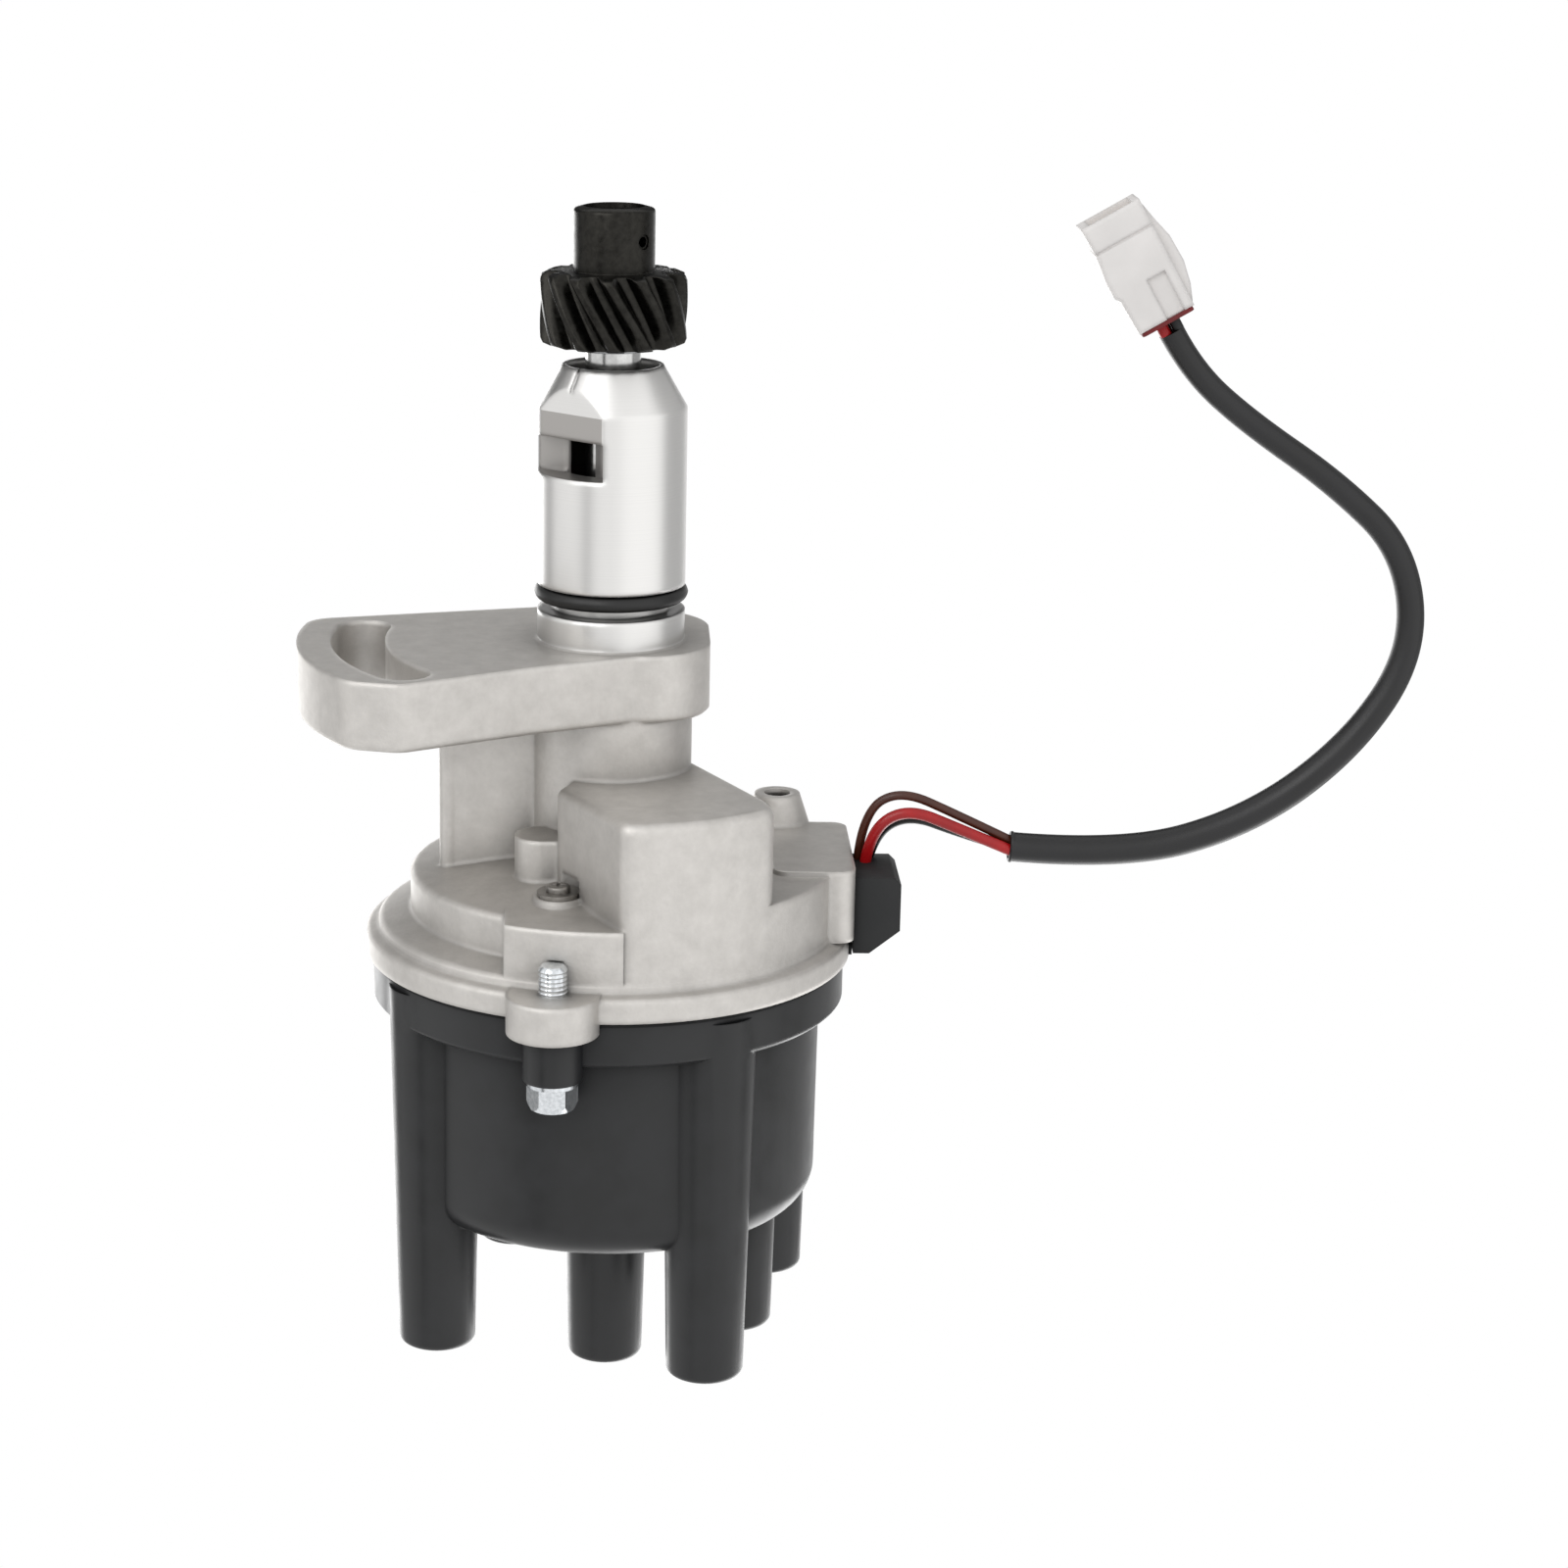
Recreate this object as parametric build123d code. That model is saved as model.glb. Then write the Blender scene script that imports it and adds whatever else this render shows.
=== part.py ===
from build123d import *
import math
import os

# An ignition distributor with a magnetic pickup and a centrifugal advance, as it stands in the
# engine: the shaft axis is X = Y = 0, the clamp arm's seat face is Z = 0, the drive gear is below
# and the cap above. The clamp arm points along +X, the lead leaves along -X and the module hump
# faces -Y. Lengths are in millimetres, angles in degrees.

# Clearances
RUN_FIT = 0.03  # radial gap of a shaft in its bush
SCREW_FIT = 0.1  # radial gap of a screw in its clearance hole
POCKET_FIT = 0.15  # gap round a piece that drops into a pocket
SOFT_GAP = 0.3  # gap between pieces that pass each other
AIR_GAP = 0.5  # radial gap of the pickup and of the rotor tip

# Shaft and drive
SHAFT_R = 5.0
SPINDLE_R = 4.0
HUB_R = 7.3
HUB_LENGTH = 11.2
GEAR_R = 13.2
GEAR_ROOT_R = 10.3
GEAR_WIDTH = 13.1
GEAR_TEETH = 13
HELIX_ANGLE = 30.0
GEAR_GAP = 3.6  # shaft that shows between the gear and the shank
ROLL_PIN_R = 1.35
ROLL_PIN_WALL = 0.4
ROLL_PIN_ANGLE = -137.0

# Shank
SHANK_R = 13.5
SHANK_LENGTH = 50.5
NOSE_R = 9.1
NOSE_LENGTH = 7.6
RECESS_R = 8.35
RECESS_DEPTH = 24.0
FLAT_ANGLE = -48.0
FLAT_DISTANCE = 11.06
FLAT_END_Z = -31.3
WINDOW_DISTANCE = 7.8
WINDOW_EDGE = 7.7
WINDOW_HEIGHT = 6.7
SCRIBE_WIDTH = 0.7
SCRIBE_DEPTH = 0.5
O_RING_SECTION_R = 1.6
GROOVE_HEIGHT = 4.8
GROOVE_Z = -10.6
BUSH_WALL = 2.5
BUSH_LENGTH = 18.0
BORE_RELIEF = 1.5

# Clamp arm
ARM_THICKNESS = 12.4
ARM_END_R = 57.5
ARM_BACK_Y = 24.5
ARM_FRONT_Y = -14.6
ARM_HEAD_X = -18.2
ARM_HEAD_R = 12.0
ARM_FRONT_X = -4.5
ARM_CORNER_SETBACK_X = 21.0  # of the front corner, from the arm's end radius
ARM_CORNER_SETBACK_Y = 20.5
ARM_WAIST_X = 13.7
ARM_WAIST_Y = -23.4
SLOT_RIM = 6.2  # metal left outside the slot
SLOT_WIDTH = 10.0
SLOT_START = -38.0
SLOT_SWEEP = 47.0
WEB_REACH = 31.4
WEB_Y = -4.0
WEB_THICKNESS = 3.4
WEB_BEAD_R = 1.9

# Housing
NECK_R = 15.1
NECK_WALL_R = 12.4
DOME_Z = 40.0
SHOULDER_Z = 43.4
BOWL_R = 33.5
BOWL_WALL = 3.5
FLOOR_Z = 47.5
RING_LEDGE = 6.0
RING_Z = 51.0
RING_EDGE_Z = 52.4
FLANGE_LEDGE = 2.2
FLANGE_Z = 54.0
RIM_Z = 59.0
HUMP_Z = 23.5
HUMP_WALL = 3.6
HUMP_EDGE_R = 1.6
HUMP_LEFT_X = 9.7
HUMP_LEFT_Y = -19.0
HUMP_FRONT_LEFT_X = -2.7
HUMP_RIGHT_INSET = 13.2  # of the right front corner, from the ring
HUMP_SIDE_X = 1.2  # from that corner to the next one
HUMP_SIDE_SETBACK = 17.7  # of the next one, from the ring's front
HUMP_BACK_X = -13.6
HUMP_BACK_Y = 5.1
SHELF_Z = 41.2
SHELF_X = -20.0
SHELF_FRONT_Y = -36.0
SHELF_BACK_Y = 8.0
EAR_BLOCK_X = 7.9
EAR_BLOCK_WIDTH = 21.2
EAR_BLOCK_BACK_Y = -24.0
EAR_BLOCK_Z = 43.0
NECK_BOSS_R = 5.0
NECK_boss_x = 12.2
NECK_BOSS_Y = -14.2
NECK_BOSS_Z = 33.4
EAR_R = 8.3
EAR_ANGLE = -77.5
EAR_Z = 54.0
EAR_LIP = 2.0
PAD_FRONT_Y = -14.0
PAD_BACK_Y = 19.0
PAD_Z = 40.4
NOTCH_MIDDLE_Y = -1.0
NOTCH_HALF = 5.0
NOTCH_Z = 46.0
GROUND_X = 9.0
GROUND_INSET = 8.0  # from the bowl's wall
GROUND_PAD_Z = 41.5
GROUND_PAD_R = 4.6
GROUND_HEAD_R = 2.2
GROUND_HEAD_HEIGHT = 1.2
GROUND_SCREW_LENGTH = 4.6
GROUND_WASHER_R = 3.9
BOSS_INSET = 13.0  # from the flange's outside
BOSS_Y = 20.5
BOSS_R = 4.3
BOSS_Z = 35.0
BOSS_FOOT_R = 7.3
BOSS_FOOT_Z = 44.0
PLUG_DEPTH = 8.0
MODULE_ROOF_Z = 29.5
MODULE_HEIGHT = 12.0
MODULE_SCREW_X1 = -8.0
MODULE_SCREW_INSET1 = 9.7  # of each screw, from the ring's front
MODULE_SCREW_X2 = -19.0
MODULE_SCREW_INSET2 = 15.7

# Cap
GASKET_THICKNESS = 0.8
CAP_FLANGE_HEIGHT = 8.0
CAP_LEDGE = 4.6
CAP_WALL = 3.5
CAP_ROOF = 4.0
CAP_DEPTH = 47.2
CAP_EDGE_R = 6.0
CAP_EAR_R = 5.35
CAP_EAR_HEIGHT = 9.9
TOWER_R = 7.1
TOWER_DRAFT = 1.15
TOWER_EDGE_R = 1.2
TOWER_ANGLE = -30.3
TOWER_COUNT = 4
TOWER_LENGTH = 24.3
CENTRE_TOWER_LENGTH = 35.1
STACK_X = -24.5
STACK_Y = -8.5
SOCKET_R = 4.25
SOCKET_DEPTH = 22.0
STACK_DEPTH = 18.0
TERMINAL_R = 2.5
BLADE_WIDTH = 5.0
BUTTON_R = 2.4
BUTTON_LENGTH = 7.5

# Advance mechanism
WASHER_THICKNESS = 0.8
GOVERNOR_R = 25.0
GOVERNOR_THICKNESS = 1.4
GOVERNOR_HUB_R = 8.5
WEIGHT_PIVOT_R = 17.0
WEIGHT_PIN_R = 1.6
WEIGHT_THICKNESS = 3.0
WEIGHT_INNER_R = 8.4
WEIGHT_OUTER_R = 21.5
WEIGHT_START = 22.0
WEIGHT_SWEEP = 103.0
DRIVE_PIN_R = 1.25
DRIVE_PIN_PITCH_R = 9.5
CAM_PLATE_THICKNESS = 1.0
SPRING_COIL_R = 1.3
SPRING_WIRE_R = 0.3
SPRING_ANCHOR_R = 23.0
SPRING_ANCHOR_ANGLE = 145.0
SPRING_POST_R = 13.5
SPRING_POST_ANGLE = 218.0
SPRING_TURNS = 9
POST_R = 0.9
SLEEVE_R = 6.0
SLEEVE_SEAT_R = 6.8

# Pickup and rotor
PLATE_GAP = 0.2
PLATE_THICKNESS = 1.4
PLATE_HOLE_R = 14.0
LUG_R = 2.8
M3_R = 1.5
M3_HEAD_R = 2.7
M3_HEAD_HEIGHT = 1.8
M3_GRIP = 5.0
RELUCTOR_R = 12.0
RELUCTOR_BODY_R = 9.0
RELUCTOR_HEIGHT = 7.0
ROTOR_HEIGHT = 19.7
ROTOR_SKIRT_R = 10.0
ELECTRODE_THICKNESS = 1.2
PICKUP_FOOT_INSET = 8.0  # from the bowl's wall
PICKUP_FOOT_THICKNESS = 1.5
PICKUP_FOOT_HALF = 11.5
PICKUP_FOOT_DEPTH = 6.4
PICKUP_UPRIGHT_HALF = 5.0
POLE_R = 2.0
COIL_R = 4.8

# Screws
M5_R = 2.5
M5_HEAD_ACROSS_FLATS = 8.0
M5_HEAD_HEIGHT = 4.4
M5_WASHER_R = 4.7
M5_END_STANDS = 5.3
M4_R = 2.0

# Lead
LEAD_Y = 0.0
SLEEVE_CORD_R = 2.6
BROWN_WIRE_R = 0.85
POWER_WIRE_R = 1.05
GROMMET_DEPTH = 8.6
GROMMET_FRONT_Y = -10.0
GROMMET_BACK_Y = 6.0
GROMMET_Z = 42.7
GROMMET_HEIGHT = 14.5
TAIL_LENGTH = 2.2
SEAL_THICKNESS = 0.8
CONNECTOR_LENGTH = 21.5
CONNECTOR_HALF_WIDTH = 5.4
CONNECTOR_DEPTH = 9.0
CONNECTOR_WALL = 1.1
CONNECTOR_CAVITY = 12.0
LATCH_DEPTH = 5.0

# Heights and radii that follow from the sizes above
body_r = BOWL_R + BOWL_WALL
ring_r = body_r + RING_LEDGE
flange_r = ring_r + FLANGE_LEDGE
ear_pitch_r = flange_r - 0.6
cap_flange_r = flange_r - 1.1
cap_r = cap_flange_r - CAP_LEDGE
tower_pitch_r = cap_r - 3.0
slot_mid_r = ARM_END_R - SLOT_RIM - SLOT_WIDTH / 2
gear_top_z = -SHANK_LENGTH - GEAR_GAP
gear_bottom_z = gear_top_z - GEAR_WIDTH
hub_bottom_z = gear_bottom_z - HUB_LENGTH
nose_z = -SHANK_LENGTH + NOSE_LENGTH
bush_r = SHAFT_R + BUSH_WALL
lower_bush_z = -SHANK_LENGTH + RECESS_DEPTH
seal_height = 2.5
upper_bush_z = FLOOR_Z - seal_height - BUSH_LENGTH
governor_z = FLOOR_Z + WASHER_THICKNESS
governor_plate_z = governor_z + 1.3
governor_top_z = governor_plate_z + GOVERNOR_THICKNESS
weight_z = governor_top_z + SOFT_GAP
weight_top_z = weight_z + WEIGHT_THICKNESS
cam_plate_z = weight_top_z + SOFT_GAP
cam_plate_top_z = cam_plate_z + CAM_PLATE_THICKNESS
spring_z = cam_plate_top_z + SPRING_COIL_R + 0.4
post_top_z = spring_z + 1.0
plate_z = RIM_Z + PLATE_GAP
plate_top_z = plate_z + PLATE_THICKNESS
plate_r = BOWL_R - 0.3
pickup_foot_y = BOWL_R - PICKUP_FOOT_INSET
lug_pitch_r = BOWL_R - 3.3
reluctor_z = plate_top_z + 1.7
rotor_z = reluctor_z + RELUCTOR_HEIGHT + 1.0
spindle_top_z = rotor_z + 1.1
sleeve_top_z = rotor_z + 9.7
rotor_top_z = rotor_z + ROTOR_HEIGHT
cap_z = RIM_Z + GASKET_THICKNESS
cap_flange_top_z = cap_z + CAP_FLANGE_HEIGHT
cap_top_z = cap_z + CAP_DEPTH
chamber_r = cap_r - CAP_WALL
roof_z = cap_top_z - CAP_ROOF
tower_top_z = cap_top_z + TOWER_LENGTH
centre_top_z = cap_top_z + CENTRE_TOWER_LENGTH
electrode_top_z = rotor_top_z + ELECTRODE_THICKNESS
button_z = electrode_top_z + SOFT_GAP
rotor_reach = chamber_r - 4.3
terminal_inner_r = rotor_reach + AIR_GAP + 0.4
button_bore_top_z = cap_top_z - 1.0
ear_lip_r = cap_flange_r + 0.6
ear_bottom_z = RIM_Z + EAR_LIP
cap_ear_top_z = cap_z + CAP_EAR_HEIGHT
pole_z = reluctor_z + RELUCTOR_HEIGHT / 2
hump_r = ring_r - 0.3
ground_y = GROUND_INSET - BOWL_R
boss_x = BOSS_INSET - flange_r
lug_angles = (30.0, 150.0, 270.0)
module_screw_places = (
    (MODULE_SCREW_X1, MODULE_SCREW_INSET1 - hump_r),
    (MODULE_SCREW_X2, MODULE_SCREW_INSET2 - hump_r),
)
pickup_screw_x = (-8.5, 8.5)
tower_angles = [TOWER_ANGLE + 360.0 / TOWER_COUNT * i for i in range(TOWER_COUNT)]
ear_angles = [EAR_ANGLE, EAR_ANGLE + 180.0]

# The lead's hand-chosen route points, from the pad that carries the grommet
pad_x = -flange_r - 0.1
sleeve_points = [
    (pad_x - 29.5, LEAD_Y, 39.3),
    (pad_x - 50.7, LEAD_Y, 41.0),
    (pad_x - 73.7, LEAD_Y, 34.0),
    (pad_x - 91.7, LEAD_Y, 19.5),
    (pad_x - 102.2, LEAD_Y, 1.5),
    (pad_x - 99.2, LEAD_Y, -17.5),
    (pad_x - 85.7, LEAD_Y, -30.0),
    (pad_x - 69.2, LEAD_Y, -41.0),
    (pad_x - 58.6, LEAD_Y, -50.1),
    (pad_x - 54.5, LEAD_Y, -57.2),
]
brown_points = [
    (pad_x - 1.3, LEAD_Y + 2.6, GROMMET_Z + 0.3),
    (pad_x - 2.0, LEAD_Y + 2.1, 33.6),
    (pad_x - 8.7, LEAD_Y + 0.8, 28.6),
    (pad_x - 19.7, LEAD_Y + 0.2, 33.4),
    (pad_x - 30.0, LEAD_Y, 38.3),
]
red_points = [
    (pad_x - 2.6, LEAD_Y + 0.9, GROMMET_Z + 0.3),
    (pad_x - 3.5, LEAD_Y - 0.3, 36.0),
    (pad_x - 10.1, LEAD_Y - 1.0, 31.7),
    (pad_x - 19.7, LEAD_Y - 1.1, 35.6),
    (pad_x - 30.0, LEAD_Y - 1.2, 39.9),
]
black_points = [
    (pad_x - 3.3, LEAD_Y + 4.0, GROMMET_Z + 0.3),
    (pad_x - 4.6, LEAD_Y + 2.8, 37.2),
    (pad_x - 10.9, LEAD_Y + 1.7, 33.6),
    (pad_x - 19.7, LEAD_Y + 1.3, 36.8),
    (pad_x - 30.0, LEAD_Y + 1.2, 40.0),
]


# Small helpers
def at(x, y, z):
    return Location((x, y, z))


def turned(angle):
    return Rotation(0, 0, angle)


def polar(radius, angle):
    return radius * math.cos(math.radians(angle)), radius * math.sin(math.radians(angle))


def rod(radius, z0, z1, x=0.0, y=0.0):
    return at(x, y, (z0 + z1) / 2) * Cylinder(radius, z1 - z0)


def tube(inner, outer, z0, z1, x=0.0, y=0.0):
    return rod(outer, z0, z1, x, y) - rod(inner, z0 - 1, z1 + 1, x, y)


def taper(r0, r1, z0, z1, x=0.0, y=0.0):
    return at(x, y, (z0 + z1) / 2) * Cone(r0, r1, z1 - z0)


def block(x0, x1, y0, y1, z0, z1):
    return at((x0 + x1) / 2, (y0 + y1) / 2, (z0 + z1) / 2) * Box(x1 - x0, y1 - y0, z1 - z0)


def turned_profile(points):
    """A solid of revolution about Z from (radius, height) points."""
    face = make_face(Polyline([(r, 0, z) for r, z in points], close=True))
    return revolve(face, Axis.Z, 360)


def raised(sketch, z0, z1):
    return extrude(at(0, 0, z0) * sketch, z1 - z0)


def write(name, shape):
    shape.label = name
    export_step(shape, f"parts/{name}.step")


# Housing: one aluminium casting with a machined shank
def shank_and_bowl():
    profile = [
        (0, -SHANK_LENGTH),
        (NOSE_R, -SHANK_LENGTH),
        (SHANK_R, nose_z),
        (SHANK_R, 0),
        (NECK_R, 0),
        (NECK_R, DOME_Z),
        (body_r - 0.8, SHOULDER_Z),
        (body_r, SHOULDER_Z + 0.8),
        (body_r, RING_Z),
        (ring_r - 0.8, RING_EDGE_Z),
        (ring_r, RING_EDGE_Z + 0.7),
        (ring_r, FLANGE_Z),
        (flange_r - 0.5, FLANGE_Z + 0.6),
        (flange_r, FLANGE_Z + 1.1),
        (flange_r, RIM_Z),
        (0, RIM_Z),
    ]
    return turned_profile(profile)


def arm_outline():
    end_low = polar(ARM_END_R, -37.0)
    end_high = polar(ARM_END_R, 13.5)
    corner = (ARM_END_R - ARM_CORNER_SETBACK_X, ARM_CORNER_SETBACK_Y - ARM_END_R)
    waist = (ARM_WAIST_X, ARM_WAIST_Y)
    front = (ARM_FRONT_X, ARM_FRONT_Y)
    front_head = (ARM_HEAD_X, ARM_FRONT_Y)
    back_head = (ARM_HEAD_X, ARM_BACK_Y)
    back_middle = (ARM_WAIST_X, ARM_BACK_Y + 0.6)
    path = [
        Line(back_head, back_middle),
        Line(back_middle, end_high),
        ThreePointArc(end_high, polar(ARM_END_R, -12.0), end_low),
        Line(end_low, corner),
        Line(corner, waist),
        Line(waist, front),
        Line(front, front_head),
        Line(front_head, back_head),
    ]
    sketch = Sketch() + make_face(Curve() + path)
    rounds = (
        (back_head, 15.0),
        (front_head, ARM_HEAD_R),
        (end_high, 6.0),
        (end_low, 7.0),
        (corner, 5.0),
    )
    for place, radius in rounds:
        nearest = sketch.vertices().sort_by_distance(place)[0]
        sketch = fillet(nearest, radius)
    return sketch


def clamp_arm():
    arm = raised(arm_outline(), 0, ARM_THICKNESS)
    arm = chamfer(arm.edges().group_by(Axis.Z)[-1], 0.6)
    slot = SlotArc(CenterArc((0, 0), slot_mid_r, SLOT_START, SLOT_SWEEP), SLOT_WIDTH)
    arm -= raised(slot, -1, ARM_THICKNESS + 1)
    foot_z = SHOULDER_Z + 2
    half = WEB_THICKNESS / 2
    web = block(0, WEB_REACH - WEB_BEAD_R, WEB_Y - half, WEB_Y + half, ARM_THICKNESS - 1, foot_z)
    bead = rod(WEB_BEAD_R, ARM_THICKNESS - 1, foot_z, WEB_REACH - WEB_BEAD_R, WEB_Y)
    return arm + web + bead


def hump_outline(inset):
    left = (HUMP_LEFT_X, HUMP_LEFT_Y)
    front_left = (HUMP_FRONT_LEFT_X, -math.sqrt(hump_r**2 - HUMP_FRONT_LEFT_X**2))
    right_x = HUMP_RIGHT_INSET - hump_r
    front_right = (right_x, -math.sqrt(hump_r**2 - right_x**2))
    middle = polar(hump_r, -109.6)
    right = (right_x + HUMP_SIDE_X, HUMP_SIDE_SETBACK - hump_r)
    back = (HUMP_BACK_X, HUMP_BACK_Y)
    inside = (0, HUMP_BACK_Y)
    path = [
        Line(inside, left),
        Line(left, front_left),
        ThreePointArc(front_left, middle, front_right),
        Line(front_right, right),
        Line(right, back),
        Line(back, inside),
    ]
    sketch = Sketch() + make_face(Curve() + path)
    for corner, radius in ((left, 4.0), (front_left, 3.0), (front_right, 3.5), (right, 6.0)):
        nearest = sketch.vertices().sort_by_distance(corner)[0]
        sketch = fillet(nearest, radius)
    if inset:
        sketch = offset(sketch, -inset)
    return sketch


def module_hump():
    hump = raised(hump_outline(0), HUMP_Z, FLANGE_Z)
    roof = hump.faces().sort_by(Axis.Z)[0]
    edges = roof.edges().filter_by(lambda e: e.center().Y < -NECK_R - 1 or e.center().X < -NECK_R)
    return fillet(edges, HUMP_EDGE_R)


def casting_bosses():
    """Bosses, pads and ears that stand on the bowl."""
    block_depth = 2 * (hump_r + EAR_BLOCK_BACK_Y)
    ear_block = at(EAR_BLOCK_X, -hump_r, 0) * Rectangle(EAR_BLOCK_WIDTH, block_depth)
    bosses = raised(Circle(hump_r) & ear_block, EAR_BLOCK_Z, FLANGE_Z)
    shelf = block(-flange_r, SHELF_X, SHELF_FRONT_Y, SHELF_BACK_Y, SHELF_Z, FLANGE_Z)
    bosses += shelf & rod(hump_r, SHELF_Z, FLANGE_Z)
    # A boss on the neck, run into the hump's side
    low = NECK_BOSS_Y - NECK_BOSS_R
    high = NECK_BOSS_Y + NECK_BOSS_R
    bosses += rod(NECK_BOSS_R, NECK_BOSS_Z, DOME_Z + 4, NECK_boss_x, NECK_BOSS_Y)
    bosses += block(NECK_boss_x - NECK_BOSS_R, NECK_boss_x, low, high, NECK_BOSS_Z, DOME_Z + 4)
    bosses += rod(GROUND_PAD_R, GROUND_PAD_Z, FLOOR_Z - 1, GROUND_X, ground_y)
    # A boss for the plug, on a wide foot
    bosses += taper(BOSS_R, BOSS_FOOT_R, BOSS_Z, BOSS_FOOT_Z, boss_x, BOSS_Y)
    bosses += rod(BOSS_FOOT_R, BOSS_FOOT_Z, FLANGE_Z, boss_x, BOSS_Y)
    # The pad that carries the grommet
    pad_width = -pad_x - 30
    pad_middle = (PAD_FRONT_Y + PAD_BACK_Y) / 2
    pad_sketch = RectangleRounded(pad_width, PAD_BACK_Y - PAD_FRONT_Y, 3.0)
    bosses += raised(at(pad_x + pad_width / 2, pad_middle, 0) * pad_sketch, PAD_Z, FLANGE_Z)
    for angle in ear_angles:
        x, y = polar(ear_pitch_r, angle)
        ear = raised(at(x, y, 0) * Circle(EAR_R), EAR_Z, ear_bottom_z)
        root = turned(angle) * block(BOWL_R + 1, ear_pitch_r, -EAR_R, EAR_R, EAR_Z, ear_bottom_z)
        bosses += ear + root
    return bosses


def housing_cuts():
    """Bores, bowl, pockets and holes of the casting."""
    cuts = rod(RECESS_R, -SHANK_LENGTH - 1, lower_bush_z)
    cuts += rod(bush_r, lower_bush_z - 0.1, lower_bush_z + BUSH_LENGTH)
    cuts += rod(SHAFT_R + BORE_RELIEF, lower_bush_z + BUSH_LENGTH - 1, upper_bush_z + 1)
    cuts += rod(bush_r, upper_bush_z, FLOOR_Z + 1)
    cuts += rod(BOWL_R, FLOOR_Z, RIM_Z + 1)
    return cuts


def shank_cuts():
    groove = tube(SHANK_R - 2 * O_RING_SECTION_R, SHANK_R + 2, GROOVE_Z, GROOVE_Z + GROOVE_HEIGHT)
    far = SHANK_R + 6
    beyond = block(FLAT_DISTANCE, far, -far, far, -SHANK_LENGTH - 1, FLAT_END_Z)
    window = block(WINDOW_DISTANCE, far, -WINDOW_EDGE, far, FLAT_END_Z - WINDOW_HEIGHT, FLAT_END_Z)
    half = SCRIBE_WIDTH / 2
    scribe = block(NOSE_R - 4, far, -half, half, -SHANK_LENGTH - 1, -SHANK_LENGTH + 6)
    floor_r = NOSE_R - SCRIBE_DEPTH
    scribe -= taper(floor_r - 0.6, floor_r + 4.6, -SHANK_LENGTH - 1, -SHANK_LENGTH + 8)
    return groove + turned(FLAT_ANGLE) * (beyond + window + scribe)


def make_housing():
    body = shank_and_bowl() + clamp_arm() + module_hump() + casting_bosses()
    body -= housing_cuts() + shank_cuts()
    # Lugs that carry the pickup base plate
    for angle in lug_angles:
        x, y = polar(lug_pitch_r, angle)
        lug = rod(LUG_R, FLOOR_Z - 0.5, plate_z, x, y)
        tie = turned(angle) * block(lug_pitch_r, BOWL_R + 1, -LUG_R, LUG_R, FLOOR_Z - 0.5, RIM_Z)
        body += lug + (tie & rod(BOWL_R + 1, 0, RIM_Z))
        body -= rod(M3_R, plate_z - 6, plate_z + 1, x, y)
    # The ears' lips stand beside the cap, so nothing of them reaches under it
    body -= rod(ear_lip_r, RIM_Z, ear_bottom_z + 1) - rod(BOWL_R, RIM_Z - 1, ear_bottom_z + 2)
    for angle in ear_angles:
        x, y = polar(ear_pitch_r, angle)
        body -= rod(M5_R, EAR_Z - M5_END_STANDS - SOFT_GAP, ear_bottom_z + 1, x, y)
    # Pocket for the module, open to the bowl
    pocket = hump_outline(HUMP_WALL) - Circle(NECK_WALL_R)
    body -= raised(pocket, MODULE_ROOF_Z, FLOOR_Z + 1)
    for x, y in module_screw_places:
        body -= rod(M3_R, MODULE_ROOF_Z - 2.4, MODULE_ROOF_Z + 1, x, y)
    # Notch for the grommet's neck, and the holes of the ground screw and the plug
    notch = NOTCH_HALF + POCKET_FIT
    notch_low, notch_high = NOTCH_MIDDLE_Y - notch, NOTCH_MIDDLE_Y + notch
    body -= block(pad_x - 1, -BOWL_R + 1, notch_low, notch_high, NOTCH_Z, RIM_Z + 1)
    relief_r = GROUND_WASHER_R + SOFT_GAP
    body -= rod(relief_r, GROUND_PAD_Z - 3.2, GROUND_PAD_Z, GROUND_X, ground_y)
    screw_end = GROUND_PAD_Z + GROUND_SCREW_LENGTH + 0.4
    body -= rod(M3_R, GROUND_PAD_Z - 1, screw_end, GROUND_X, ground_y)
    body -= rod(M5_R, BOSS_Z - 1, BOSS_Z + PLUG_DEPTH, boss_x, BOSS_Y)
    return body


# Pieces pressed or laid into the housing
def make_o_ring():
    return at(0, 0, GROOVE_Z + O_RING_SECTION_R) * Torus(SHANK_R - O_RING_SECTION_R, O_RING_SECTION_R)


def make_bush(z0):
    return tube(SHAFT_R + RUN_FIT, bush_r, z0, z0 + BUSH_LENGTH)


def make_seal():
    body = tube(SHAFT_R + 1.2, bush_r, FLOOR_Z - seal_height, FLOOR_Z)
    lip = tube(SHAFT_R + 0.1, bush_r - 1, FLOOR_Z - seal_height, FLOOR_Z - seal_height + 0.8)
    return body + lip


def make_gasket():
    ring = tube(chamber_r, cap_flange_r + 0.3, RIM_Z, cap_z)
    for angle in ear_angles:
        x, y = polar(ear_pitch_r, angle)
        ring -= rod(M5_R + SCREW_FIT, RIM_Z - 1, cap_z + 1, x, y)
    return ring


def make_module():
    plan = hump_outline(HUMP_WALL + 1.2) - Circle(NECK_R + 1.5)
    body = raised(plan, MODULE_ROOF_Z, MODULE_ROOF_Z + MODULE_HEIGHT)
    for x, y in module_screw_places:
        body -= rod(M3_R + SCREW_FIT, MODULE_ROOF_Z - 1, MODULE_ROOF_Z + MODULE_HEIGHT + 1, x, y)
    return body


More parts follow.
